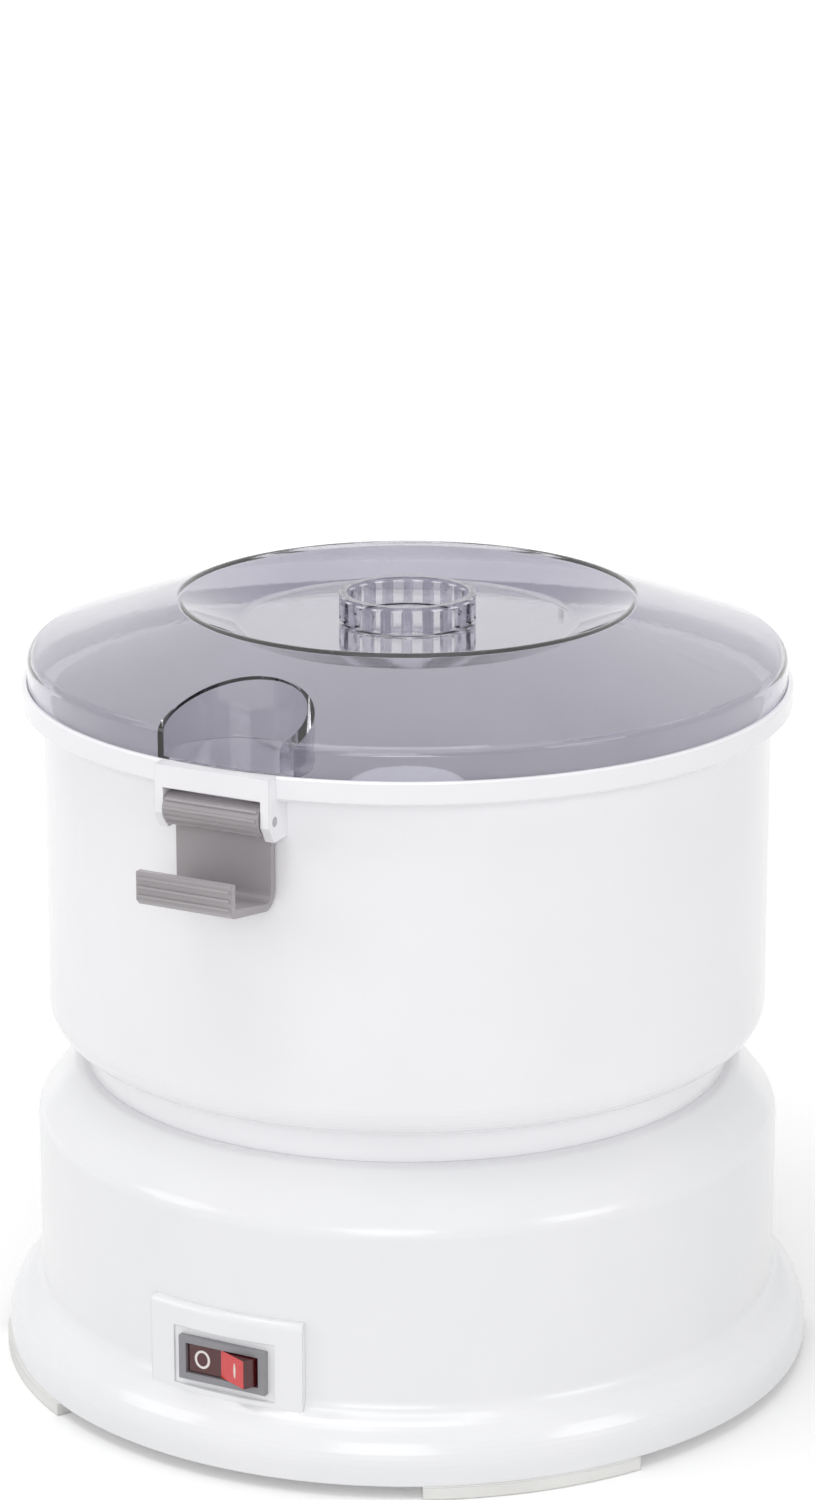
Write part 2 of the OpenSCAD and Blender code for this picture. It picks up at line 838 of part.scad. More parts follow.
module motor_stator() {
    color("dimgray") translate([motor_x, 0, z_stack]) linear_extrude(stack_h) difference() {
        union() {
            difference() {
                square([2 * stack_x, 2 * stack_y], center = true);
                for (s = [-1, 1]) translate([s * (pole_x + stack_x - yoke_x) / 2, 0])
                    square([stack_x - yoke_x - pole_x, 2 * (stack_y - yoke_y)], center = true);
            }
            intersection() {
                circle(r = bore_r + shoe_t);
                for (a = [90, 270]) polygon(wedge(a - shoe_turn, a + shoe_turn));
            }
        }
        circle(r = bore_r);
        for (sx = [-1, 1], sy = [-1, 1]) translate([sx * bolt_x, sy * bolt_y])
            circle(r = motor_bolt_r + push);
    }
}

module field_coils() {
    in_x = pole_x + coil_gap;
    in_z = stack_h / 2 + coil_gap;
    y0 = bore_r + shoe_t + coil_gap;
    depth = stack_y - yoke_y - coil_gap - y0;
    color("peru") translate([motor_x, 0, z_stack + stack_h / 2]) for (s = [0, 180]) rotate([0, 0, s])
        translate([0, y0 + depth, 0]) rotate([90, 0, 0]) linear_extrude(depth) difference() {
            square([2 * (in_x + coil_t), 2 * (in_z + coil_w)], center = true);
            square([2 * in_x, 2 * in_z], center = true);
        }
}

module motor_spacers() {
    color("gray") translate([motor_x, 0, z_plate_top]) four(bolt_x, bolt_y)
        tube(sleeve_r, motor_bolt_r + push, z_stack - z_plate_top);
}

module motor_bracket() {
    arm_l = 2 * norm([bolt_x, bolt_y]);
    bar_l = 2 * (holder_at + holder_l);
    color("lightgray") translate([motor_x, 0, 0]) {
        translate([0, 0, z_stack_top]) four(bolt_x, bolt_y)
            tube(sleeve_r, motor_bolt_r + push, z_bracket - z_stack_top + eps);
        translate([0, 0, z_bracket]) difference() {
            union() {
                for (s = [-1, 1]) rotate([0, 0, s * atan(bolt_y / bolt_x)])
                    translate([-arm_l / 2, -arm_w / 2, 0]) cube([arm_l, arm_w, bracket_t]);
                four(bolt_x, bolt_y) cylinder(r = bolt_pad_r, h = bracket_t);
                translate([-bar_l / 2, -bar_w / 2, 0]) cube([bar_l, bar_w, bracket_t]);
                cylinder(r = motor_bush_r + bush_wall, h = bracket_t);
            }
            translate([0, 0, -past]) cylinder(r = motor_bush_r + push, h = bracket_t + 2 * past);
            translate([0, 0, -past]) four(bolt_x, bolt_y)
                cylinder(r = motor_bolt_r + push, h = bracket_t + 2 * past);
        }
    }
}

module motor_bolts() {
    color("silver") translate([motor_x, 0, z_bracket + bracket_t + screw_head_h]) four(bolt_x, bolt_y)
        mirror([0, 0, 1])
            screw(motor_bolt_r - push, z_bracket + bracket_t - z_plate, bolt_head_r, screw_head_h);
}

module brush_holders() {
    color("goldenrod") translate([motor_x, 0, 0]) for (s = [0, 180]) rotate([0, 0, s])
        translate([holder_at, 0, z_holder]) difference() {
            translate([0, -brush_w / 2 - holder_wall, 0])
                cube([holder_l, brush_w + 2 * holder_wall, z_bracket - z_holder]);
            translate([-past, -brush_w / 2 - push, holder_wall])
                cube([holder_l + past - holder_back, brush_w + 2 * push, brush_w + 2 * push]);
        }
}

module carbon_brushes() {
    color("black") translate([motor_x, 0, z_holder + holder_wall + push]) for (s = [0, 180]) rotate([0, 0, s])
        translate([comm_r + run, -brush_w / 2, 0]) cube([brush_l, brush_w, brush_w]);
}

module motor_bush_lower() {
    color("darkgoldenrod") translate([motor_x, 0, z_plate - bush_over])
        tube(motor_bush_r, motor_shaft_r + run, plate_t + 2 * bush_over);
}

module motor_bush_upper() {
    color("darkgoldenrod") translate([motor_x, 0, z_bracket - bush_over])
        tube(motor_bush_r, motor_shaft_r + run, bracket_t + 2 * bush_over);
}

module motor_shaft() {
    color("silver") translate([motor_x, 0, z_shaft_low])
        cylinder(r = motor_shaft_r, h = z_shaft_top - z_shaft_low);
}

module motor_pinion() {
    color("goldenrod") translate([motor_x, 0, z_wheel - pinion_over])
        linear_extrude(wheel_h + 4 * pinion_over)
        difference() {
            gear_outline(teeth_motor, mod_1);
            circle(r = motor_shaft_r + push);
        }
}

module each_slot() {
    for (i = [0:slots - 1]) rotate([0, 0, 360 * i / slots]) translate([slot_at, 0, 0]) children();
}

module armature_core() {
    color("gray") translate([motor_x, 0, z_stack]) linear_extrude(stack_h) difference() {
        circle(r = armature_r);
        circle(r = motor_shaft_r + push);
        each_slot() {
            circle(r = slot_r, $fn = 24);
            translate([0, -slot_mouth / 2]) square([armature_r, slot_mouth]);
        }
    }
}

module armature_windings() {
    in_r = motor_shaft_r + past;
    top = winding_h - winding_gap;
    color("peru") translate([motor_x, 0, 0]) {
        translate([0, 0, z_stack - wire_over]) each_slot()
            cylinder(r = wire_r, h = stack_h + 2 * wire_over, $fn = 24);
        for (z = [z_stack - winding_h, z_stack_top + winding_gap]) translate([0, 0, z])
            turned() polygon([
                [in_r, 0], [winding_r, 0], [winding_r + 1, winding_edge],
                [winding_r + 1, top - winding_edge], [winding_r, top], [in_r, top]
            ]);
    }
}

module commutator() {
    color("darkorange") translate([motor_x, 0, z_comm]) difference() {
        cylinder(r = comm_r, h = comm_h);
        translate([0, 0, -past]) cylinder(r = motor_shaft_r + push, h = comm_h + 2 * past);
        for (i = [0:slots - 1]) rotate([0, 0, 360 * (i + 0.5) / slots])
            translate([comm_r - comm_cut_d, -comm_cut_w / 2, -past])
                cube([2 * comm_cut_d, comm_cut_w, comm_h + 2 * past]);
    }
}

module cooling_fan() {
    color("black") translate([motor_x, 0, z_fan]) difference() {
        union() {
            cylinder(r = fan_r, h = fan_t);
            cylinder(r = fan_hub_r, h = fan_h);
            for (i = [0:fan_blades - 1]) rotate([0, 0, 360 * i / fan_blades])
                translate([fan_hub_r - past, -fan_t / 2, 0])
                    cube([fan_r - fan_hub_r + past - fan_edge, fan_t, fan_h]);
        }
        translate([0, 0, -past]) cylinder(r = motor_shaft_r + push, h = fan_h + 2 * past);
    }
}

// ---- gears and output ----

module idler_pin() {
    color("silver") translate([idler_x, 0, z_bottom - pin_sink])
        cylinder(r = idler_pin_r, h = z_plate_top - z_bottom + pin_sink);
}

module idler_gear() {
    color("ivory") translate([idler_x, 0, 0]) difference() {
        union() {
            translate([0, 0, z_wheel]) linear_extrude(wheel_h)
                meshed(teeth_idler_wheel, 180) gear_outline(teeth_idler_wheel, mod_1);
            translate([0, 0, z_wheel + wheel_h - eps]) cylinder(r = idler_hub_r, h = wheel_gap);
            translate([0, 0, z_gear - gear_over]) linear_extrude(gear_h + 2 * gear_over)
                gear_outline(teeth_idler_pinion, mod_2);
            translate([0, 0, z_bottom + bush_t + thrust_gap])
                cylinder(r = idler_boss_r, h = z_wheel - z_bottom - bush_t);
        }
        translate([0, 0, z_bottom]) cylinder(r = idler_pin_r + run, h = z_plate - z_bottom);
    }
}

module output_gear() {
    color("ivory") difference() {
        union() {
            translate([0, 0, z_gear]) linear_extrude(gear_h)
                meshed(teeth_output, 180) gear_outline(teeth_output, mod_2);
            translate([0, 0, z_bottom + bush_t + output_lift])
                cylinder(r = output_hub_r, h = z_gear_top - z_bottom - bush_t);
        }
        for (z = [z_gear - past, z_gear_top - web_d]) translate([0, 0, z])
            tube(web_r, output_hub_r, web_d + past);
        for (i = [0:web_holes - 1]) rotate([0, 0, 360 * i / web_holes])
            translate([(web_r + output_hub_r) / 2, 0, z_gear - past])
                cylinder(r = web_hole_r, h = gear_h + 2 * past);
        translate([0, 0, z_bottom]) cylinder(r = shaft_r + push, h = z_neck - z_bottom);
    }
}

module output_shaft() {
    z0 = z_bottom + shaft_foot;
    color("silver") translate([0, 0, z0]) cylinder(r = shaft_r, h = z_coupling_top - coupling_cap_t - z0);
}

module output_circlip() {
    color("dimgray") translate([0, 0, z_bottom + bush_t + circlip_up])
        tube(shaft_r + circlip_w, shaft_r + push, circlip_t);
}

module output_bush_lower() {
    color("darkgoldenrod") translate([0, 0, z_bottom]) tube(bush_out_r, shaft_r + run, bush_t + bush_over);
}

module output_bush_upper() {
    color("darkgoldenrod") translate([0, 0, z_boss]) tube(bush_out_r, shaft_r + run, z_post_floor - z_boss);
}

module shaft_seal() {
    color("dimgray") translate([0, 0, z_post_floor])
        tube(post_bore_r - push, shaft_r + run, z_seal_top - z_post_floor);
}

module drive_coupling() {
    color("gray") translate([0, 0, z_coupling]) difference() {
        union() {
            cylinder(r = coupling_flange_r, h = coupling_flange_t);
            cylinder(r = coupling_r, h = coupling_h, $fn = 6);
        }
        translate([0, 0, -past]) cylinder(r = shaft_r + push, h = coupling_h - coupling_cap_t + past + push);
    }
}

// ---- electrics ----

module switch_frame() { translate([0, -pad_face, switch_z]) children(); }

module block(l, d, h) { translate([-l / 2, 0, -h / 2]) cube([l, d, h]); }

module switch_bezel() {
    color("silver") switch_frame() translate([0, -bezel_proud, 0]) difference() {
        block(bezel_l, bezel_proud, bezel_h);
        translate([0, -past, 0]) block(cavity_l, bezel_proud + 2 * past, cavity_h);
    }
}

module switch_body() {
    color("black") switch_frame() difference() {
        block(body_l, body_d, body_h);
        translate([0, -past, 0]) block(cavity_l, cavity_d + past, cavity_h);
        translate([0, rocker_pivot, pin_wall - body_h / 2])
            cylinder(r = rocker_pin_r + run, h = body_h - 2 * pin_wall);
    }
}

module switch_terminals() {
    color("goldenrod") switch_frame() for (i = [-1:1]) translate([terminal_pitch * i, body_d, 0])
        block(spade[0], spade[1], spade[2]);
}

module rocker() {
    face_end = -rocker_mid - (rocker_end - rocker_mid) * rocker_over / rocker_r;
    back_end = rocker_heel - rocker_back;
    color("red") switch_frame() translate([0, rocker_pivot, 0]) rotate([0, 0, -rocker_tilt]) {
        translate([0, 0, -rocker_h / 2]) linear_extrude(rocker_h) intersection() {
            polygon([
                [0, -rocker_mid], [rocker_over, face_end], [rocker_over, back_end],
                [rocker_back_w, rocker_back],
                [-rocker_back_w, rocker_back], [-rocker_over, back_end], [-rocker_over, face_end]
            ]);
            circle(r = rocker_r);
        }
        translate([0, 0, pin_end - body_h / 2]) cylinder(r = rocker_pin_r, h = body_h - 2 * pin_end);
    }
}

module interlock_switch() {
    color("black") translate([-interlock_w / 2, plunger_y - interlock_d / 2, z_interlock - interlock_h])
        cube([interlock_w, interlock_d, interlock_h]);
    // ears that hang the switch from the shelf
    color("black") for (s = [-1, 1])
        translate([s * ear_x - ear_t / 2, plunger_y - interlock_d / 2, z_interlock - ear_lap])
            cube([ear_t, interlock_d, z_shelf - z_interlock + ear_lap]);
}

module interlock_plunger() {
    z_stem = z_shelf - stem_out;
    color("dimgray") translate([0, plunger_y, 0]) {
        translate([0, 0, z_flange]) cylinder(r = plunger_r, h = z_plunger_top - z_flange);
        translate([0, 0, z_flange]) cylinder(r = plunger_r + plunger_flange, h = flange_t);
        translate([0, 0, z_stem]) cylinder(r = stem_r, h = z_flange - z_stem + eps);
    }
}

// Coil spring round the plunger's stem
module plunger_spring() {
    z0 = z_shelf + shelf_t + spring_wire_r;
    z1 = z_flange - spring_wire_r - run;
    sides = 6;
    steps = 14;
    rings = spring_turns * steps;
    points = [for (k = [0:rings], j = [0:sides - 1])
        let (a = 360 * k / steps, f = 360 * j / sides, r = spring_coil_r + spring_wire_r * cos(f))
        [r * cos(a), r * sin(a), z0 + (z1 - z0) * k / rings + spring_wire_r * sin(f)]];
    faces = concat(
        [[for (j = [sides - 1:-1:0]) j]],
        [for (k = [0:rings - 1], j = [0:sides - 1])
            let (a = k * sides + j, b = k * sides + (j + 1) % sides) [a, b, b + sides, a + sides]],
        [[for (j = [0:sides - 1]) rings * sides + j]]
    );
    color("silver") translate([0, plunger_y, 0]) polyhedron(points, faces);
}

module cord_grommet() {
    back_z = -inlet_wall - grommet_flange_t;
    color("dimgray") translate([0, inlet_face, inlet_z]) rotate([-90, 0, 0]) difference() {
        union() {
            cylinder(r = grommet_flange_r, h = grommet_flange_t);
            translate([0, 0, back_z]) cylinder(r = grommet_r, h = past - back_z);
            translate([0, 0, back_z]) cylinder(r = grommet_back_r, h = grommet_flange_t);
        }
        translate([0, 0, back_z - past]) cylinder(r = inlet_r, h = grommet_flange_t + 2 * past - back_z);
    }
}

module suppression_capacitor() {
    color("gold") translate([capacitor_x, capacitor_y, z_bottom]) cube(capacitor);
}

module terminal_block() {
    pitch = terminal[0] / terminal_ways;
    color("ivory") translate([-terminal[0] / 2, terminal_y, z_bottom]) difference() {
        cube(terminal);
        for (i = [0:terminal_ways - 1]) translate([pitch * (i + 0.5), 0, 0]) {
            translate([0, -past, lead_up]) rotate([-90, 0, 0])
                cylinder(r = terminal_r, h = terminal[1] + 2 * past);
            translate([0, terminal_screw_y, lead_up + past]) cylinder(r = terminal_r, h = terminal[2]);
        }
    }
}

// A lead as straight runs that overlap at the bends
module lead(points) {
    last = len(points) - 2;
    for (i = [0:last]) {
        d = points[i + 1] - points[i];
        back = i == 0 ? 0 : lead_r;
        ahead = i == last ? 0 : lead_r;
        translate(points[i]) rotate([0, acos(d[2] / norm(d)), atan2(d[1], d[0])])
            translate([0, 0, -back]) cylinder(r = lead_r, h = norm(d) + back + ahead, $fn = 8);
    }
}

module inner_leads() {
    z = z_bottom + lead_up;
    z_up = z_plate_top + 12;
    z_brush = z_comm + 5;
    z_sense = z_interlock - interlock_h / 2;
    block_x = terminal[0] / 2 + touch;
    block_y = terminal_y + terminal[1] / 2;
    turn_y = terminal_y - 12;
    sense_y = plunger_y - 12;
    cap_y = capacitor_y + 6;
    front_y = body_d + 18 - pad_face;
    bend = polar(pillar_ring_r, -59);
    // terminal block to the interlock switch
    color("steelblue") lead([
        [-lead_x, terminal_y - touch, z], [-lead_x, turn_y, z], [-lead_x, turn_y, z_up],
        [-terminal_pitch, sense_y, z_up],
        [-terminal_pitch, sense_y, z_sense], [-terminal_pitch, plunger_y - interlock_d / 2 - touch, z_sense]
    ]);
    // terminal block to the capacitor
    color("saddlebrown") lead([
        [lead_x, terminal_y - touch, z], [lead_x, turn_y + 2, z], [capacitor_x - 6, cap_y, z],
        [capacitor_x - touch, cap_y, z]
    ]);
    // terminal block to the rocker switch
    color("saddlebrown") lead([
        [block_x, block_y, z], [pillar_ring_r - 10, block_y, z], [pillar_ring_r - 4, 0, z],
        [bend[0], bend[1], z],
        [terminal_pitch, front_y, z], [terminal_pitch, front_y, switch_z],
        [terminal_pitch, body_d + spade[1] + touch - pad_face, switch_z]
    ]);
    // terminal block to a brush
    color("steelblue") lead([
        [-block_x, block_y, z], [idler_x + 4, block_y, z], [idler_x + 4, block_y, z_brush],
        [idler_x + 4, 0, z_brush], [motor_x + holder_at + holder_l + touch, 0, z_brush]
    ]);
}

// ---- bowl ----

module bowl() {
    color("white") difference() {
        union() {
            turned() polygon(concat(
                [[skirt_in_r, z_seat], [skirt_r, z_seat], [skirt_r, z_under]],
                arc(corner_x, z_under + bowl_corner_r, bowl_corner_r, -90, 0, 10),
                [[bowl_r, z_rim_low - rim_fillet], [bowl_r + rim_fillet, z_rim_low],
                 [rim_r - rim_low_edge, z_rim_low],
                 [rim_r, z_rim_low + rim_low_edge], [rim_r, z_rim - rim_edge], [rim_r - rim_edge, z_rim],
                 [rim_in_r, z_rim], [rim_in_r, z_lid], [bowl_r - bowl_t, z_lid]],
                arc(corner_x, z_under + bowl_corner_r, bowl_corner_r - bowl_t, 0, -90, 10),
                arc(tower_r + tower_foot_r, z_floor + tower_foot_r, tower_foot_r, -90, -180, 5),
                [[tower_r, z_tower - tower_edge], [tower_r - tower_edge, z_tower], [bush_bore_r, z_tower],
                 [bush_bore_r, z_bush], [spindle_r + spindle_gap, z_bush],
                 [spindle_r + spindle_gap, z_bush - bush_shelf], [tower_in_r, z_bush - bush_shelf],
                 [tower_in_r, z_under], [skirt_in_r, z_under]]
            ));
            latch_hood();
            rod_channel();
        }
        for (a = neck_rib_angles) rotate([0, 0, a]) neck_rib(rib_gap);
        // opening in the rim's seat for the lid's hook tab
        translate([-tab_w / 2 - tab_side, -rim_in_r - tab_gap, z_rim_low - 2 * rim_fillet])
            cube([tab_w + 2 * tab_side, rim_in_r + tab_gap - bowl_r - loose,
                  z_lid + loose - z_rim_low + 2 * rim_fillet]);
        // window in the wall that shows the rod's head
        translate([-rod_slot_w / 2, bowl_r - bowl_t - past, z_lid - rod_slot_h - rod_gap])
            cube([rod_slot_w, rod_y - bowl_r + bowl_t + past, rod_slot_h]);
        // slot in the skirt for the rod's foot
        translate([-rod_foot_w / 2, skirt_in_r - past, z_foot_low])
            cube([rod_foot_w, skirt_t + 2 * past, z_under - z_foot_low]);
        rod_passage();
    }
}

// Block over the rim with two cheeks that carry the latch pin
module latch_hood() {
    z_low = pivot_z - cheek_drop;
    z_mid = (z_rim_low + z_lid) / 2;
    difference() {
        across(2 * hood_out) polygon([
            [-hood_front, z_rim], [-hood_front, pivot_z - latch_pin_r], [cheek_edge - hood_front, z_low],
            [hood_root - bowl_r, z_low], [hood_root - bowl_r, z_rim]
        ]);
        translate([-hood_in, -hood_front - past, z_low - past])
            cube([2 * hood_in, hood_front, z_hood - z_low + past]);
        translate([0, 0, z_low - past])
            cylinder(r = bowl_r - bowl_t / 2, h = z_mid - z_low + past + eps, $fn = 180);
        translate([0, 0, z_mid]) cylinder(r = rim_r - rim_t / 2, h = rim_h, $fn = 180);
        translate([-hood_out - past, pivot_y, pivot_z]) rotate([0, 90, 0])
            cylinder(r = latch_pin_r + push, h = 2 * (hood_out + past));
    }
}

// Cover over the interlock rod on the back of the wall
module rod_channel() {
    z_low = z_under + bowl_corner_r;
    y_out = rod_y + rod_t + rod_gap + channel_t;
    difference() {
        translate([-channel_w / 2, bowl_r - channel_root, z_low])
            cube([channel_w, y_out - bowl_r + channel_root, z_rim_low + loose - z_low]);
        translate([0, 0, z_under]) cylinder(r = bowl_r - bowl_t / 2, h = bowl_h, $fn = 180);
    }
}

module rod_passage() {
    translate([-rod_w / 2 - rod_gap, rod_y - rod_gap, z_under])
        cube([rod_w + 2 * rod_gap, rod_t + 2 * rod_gap, z_rim - z_under]);
}

module latch_pin() {
    color("silver") translate([-hood_out, pivot_y, pivot_z]) rotate([0, 90, 0])
        cylinder(r = latch_pin_r, h = 2 * hood_out);
}

module latch() {
    out = latch_back - latch_t - latch_reach;
    z_lip = latch_low + latch_rise;
    bend_y = latch_back - latch_bend_r;
    bend_z = latch_low + latch_bend_r;
    color("darkgray") difference() {
        union() {
            across(latch_w) translate([pivot_y, pivot_z]) circle(r = barrel_r);
            for (a = grip_turns) translate([0, pivot_y, pivot_z]) rotate([a, 0, 0])
                translate([-grip_l / 2, barrel_r - 1, -grip_w / 2]) cube([grip_l, 1 + grip_d, grip_w]);
            across(latch_w) polygon(concat(
                [[latch_back, pivot_z]], arc(bend_y, bend_z, latch_bend_r, 0, -90, 4),
                [[out + lip_edge, z_lip - lip_edge], [out, z_lip], [out, z_lip + latch_lip_h],
                 [out + latch_t, z_lip + latch_lip_h], [out + latch_t, z_lip + latch_t / 2]],
                arc(bend_y, bend_z, latch_bend_r - latch_t, -90, 0, 4),
                [[latch_back - latch_t, pivot_z - barrel_root], [pivot_y, pivot_z - barrel_root],
                 [pivot_y, pivot_z]]
            ));
            for (i = [0:lip_ribs - 1]) translate([-grip_l / 2, out - grip_d, z_lip + 1 + lip_rib_pitch * i])
                cube([grip_l, grip_d + 1, grip_w]);
        }
        translate([-latch_w, pivot_y, pivot_z]) rotate([0, 90, 0])
            cylinder(r = latch_pin_r + run, h = 2 * latch_w);
    }
}

module interlock_rod() {
    y_foot = plunger_y - rod_foot_in;
    color("black") {
        translate([-rod_w / 2, rod_y, z_rod_foot]) cube([rod_w, rod_t, z_lid - rod_end_drop - z_rod_foot]);
        translate([-rod_w / 2, y_foot, z_rod_foot]) cube([rod_w, rod_y + rod_t - y_foot, rod_foot_t]);
    }
}

module tower_bush() {
    color("darkgoldenrod") translate([0, 0, z_bush])
        tube(bush_bore_r - push, spindle_r + run, z_neck_low - z_bush);
}

module tower_seal() {
    color("dimgray") translate([0, 0, z_neck_low]) tube(bush_bore_r - push, spindle_neck_r + run, seal_h);
}

module bowl_spindle() {
    color("silver") {
        translate([0, 0, z_spindle]) cylinder(r = spindle_r, h = z_neck_low - z_spindle);
        translate([0, 0, z_neck_low]) cylinder(r = spindle_neck_r, h = z_collar - z_neck_low);
        translate([0, 0, z_collar]) cylinder(r = collar_r, h = collar_h);
        translate([0, 0, z_hex]) cylinder(r = hex_r, h = hex_h, $fn = 6);
    }
}

module spindle_dog() {
    color("gray") translate([0, 0, z_dog]) difference() {
        cylinder(r = dog_r, h = dog_h);
        translate([0, 0, -eps])
            cylinder(r = coupling_r + dog_fit, h = z_spindle - z_dog - dog_floor, $fn = 6);
        translate([0, 0, z_spindle - z_dog]) cylinder(r = spindle_r + push, h = dog_h);
    }
}

// ---- disc ----

// One window between two spokes, its edges moved out by grow
module window(grow) {
    apex = (spoke_w / 2 - grow) / sin(180 / plates);
    intersection() {
        difference() {
            circle(r = window_out_r + grow, $fn = 180);
            circle(r = mid_plate_r - grow);
        }
        translate([apex, 0]) polygon(wedge(-180 / plates, 180 / plates));
    }
}

module each_window() {
    for (i = [0:plates - 1]) rotate([0, 0, 360 * (i + 0.5) / plates]) children();
}

module disc_frame() {
    color("white") rotate([0, 0, disc_turn]) difference() {
        union() {
            translate([0, 0, z_frame]) cylinder(r = disc_r - ring_w / 2, h = spoke_t, $fn = 180);
            turned() polygon(concat(
                [[disc_r - ring_w, z_frame], [disc_r - ring_low_edge, z_frame],
                 [disc_r, z_frame + ring_low_edge]],
                arc(disc_r - ring_edge_r, z_ring - ring_edge_r, ring_edge_r, 0, 90, 5),
                arc(disc_r - ring_w + ring_edge_r, z_ring - ring_edge_r, ring_edge_r, 90, 180, 5)
            ));
            turned() polygon(concat(
                [[hub_r - hub_t, z_frame], [hub_r + hub_foot_r + hub_t, z_frame]],
                reversed(arc(hub_r + hub_foot_r, z_frame + spoke_t + hub_foot_r, hub_foot_r, 180, 270, 8)),
                arc(hub_r - hub_edge_r, z_hub - hub_edge_r, hub_edge_r, 0, 90, 8),
                [[0, z_hub], [0, z_hub - hub_cap_t], [hub_r - hub_t, z_hub - hub_cap_t]]
            ));
        }
        translate([0, 0, z_frame - past]) cylinder(r = hub_r - hub_t, h = spoke_t + 2 * past);
        each_window() translate([0, 0, z_frame + ledge_h]) linear_extrude(frame_t) window(0);
        each_window() translate([0, 0, z_frame - past]) linear_extrude(frame_t) window(-ledge_w);
    }
}

module grater_plates() {
    color("silver") rotate([0, 0, disc_turn]) each_window() for (s = [0, 1]) mirror([0, s, 0]) plate_wing();
}

// Half of one plate: a flat wing that rises from the spoke to the ridge
module plate_wing() {
    apex = (spoke_w / 2 + gap) / sin(180 / plates);
    intersection() {
        translate([apex, 0, z_frame + ledge_h]) rotate([0, 0, -180 / plates]) rotate([plate_tilt, 0, 0])
            translate([0, -spoke_w, 0]) cube([disc_r, disc_r, sheet_t]);
        translate([0, 0, z_frame + ledge_h]) linear_extrude(hub_h) intersection() {
            window(-gap);
            translate([0, -far]) square([far, far]);
        }
    }
}

module hub_socket() {
    color("gray") translate([0, 0, z_hex]) difference() {
        cylinder(r = socket_r, h = z_hub - hub_cap_t - z_hex);
        translate([0, 0, -eps]) cylinder(r = hex_r + socket_fit, h = hex_h + past, $fn = 6);
    }
}

// ---- lid ----

// Half outline of the lid from the skirt's bottom to the axis, moved inwards by t
function lid_line(t) =
    let (a = 90 - lid_slope, cx = lid_r - shoulder_arc,
         sx = cx + shoulder_arc * cos(a), sz = shoulder_h + shoulder_arc * sin(a),
         rx = ridge_r - ridge_arc * cos(a),
         rz = sz + (sx - ridge_r) * tan(lid_slope) - ridge_arc * sin(a),
         floor_z = rz + ridge_arc - recess_drop,
         b = 90 + recess_slope,
         px = rx + ridge_arc * cos(b), pz = rz + ridge_arc * sin(b),
         qz = floor_z + recess_arc - recess_arc * cos(recess_slope),
         qx = px - (pz - qz) / tan(recess_slope),
         fx = qx - recess_arc * sin(recess_slope))
    concat(
        [[lid_r - t, 0]],
        arc(cx, shoulder_h, shoulder_arc - t, 0, a, 8),
        arc(rx, rz, ridge_arc - t, a, b, 6),
        arc(fx, floor_z + recess_arc, recess_arc + t, b - 180, -90, 6),
        [[0, floor_z - t]]
    );
function recess_z() = let (p = lid_line(0)) p[len(p) - 1][1];

module lid() {
    color("lavender", 0.5) translate([0, 0, z_lid]) {
        difference() {
            turned() polygon(concat(lid_line(0), reversed(lid_line(lid_t))));
            translate([0, pocket_y, -past]) cylinder(r = pocket_r + lid_t / 2, h = bowl_h);
            lid_notch();
        }
        // collar and floor of the scoop pocket
        intersection() {
            turned() polygon(concat([[0, 0]], lid_line(0)));
            translate([0, pocket_y, pocket_floor]) difference() {
                cylinder(r = pocket_r + lid_t, h = bowl_h);
                translate([0, 0, lid_t]) cylinder(r = pocket_r, h = bowl_h);
            }
        }
        // hook tab
        translate([0, 0, -tab_drop]) linear_extrude(tab_drop + pocket_floor + lid_t) intersection() {
            difference() { circle(r = lid_r, $fn = 180); circle(r = lid_r - lid_t, $fn = 180); }
            translate([-tab_w / 2, -far]) square([tab_w, far]);
        }
        crown();
    }
}

// Ring of windows through the recess
module crown() {
    w = PI * crown_r / crown_windows;
    x0 = crown_r - crown_t - past;
    deep = crown_t + 2 * past;
    low_h = crown_down - crown_band - lid_t - crown_foot;
    difference() {
        translate([0, 0, recess_z() - crown_down]) tube(crown_r, crown_r - crown_t, crown_up + crown_down);
        for (i = [0:crown_windows - 1]) rotate([0, 0, 360 * i / crown_windows]) {
            translate([x0, -w / 2, recess_z() + crown_foot])
                cube([deep, w, crown_up - crown_band - crown_foot]);
            translate([x0, -w / 2, recess_z() - crown_down + crown_band]) cube([deep, w, low_h]);
        }
    }
}

module lid_notch() {
    translate([0, 0, -eps]) linear_extrude(pocket_floor + eps)
        polygon(wedge(-90 - notch_left, notch_right - 90));
}

base_housing();
top_deck();
bottom_plate();
foot_pads();
cover_screws();
gear_plate();
gear_plate_screws();
motor_stator();
field_coils();
motor_spacers();
motor_bracket();
motor_bolts();
brush_holders();
carbon_brushes();
motor_bush_lower();
motor_bush_upper();
output_bush_lower();
output_bush_upper();
shaft_seal();
idler_pin();
switch_bezel();
switch_body();
switch_terminals();
interlock_switch();
plunger_spring();
cord_grommet();
suppression_capacitor();
terminal_block();
inner_leads();
rocker();
interlock_plunger();
motor_shaft();
motor_pinion();
armature_core();
armature_windings();
commutator();
cooling_fan();
idler_gear();
output_gear();
output_shaft();
output_circlip();
drive_coupling();
bowl();
latch_pin();
tower_bush();
tower_seal();
latch();
interlock_rod();
bowl_spindle();
spindle_dog();
disc_frame();
grater_plates();
hub_socket();
lid();
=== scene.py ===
import json
import math

import bmesh
import bpy
from mathutils import Matrix, Vector
from mathutils.geometry import delaunay_2d_cdt


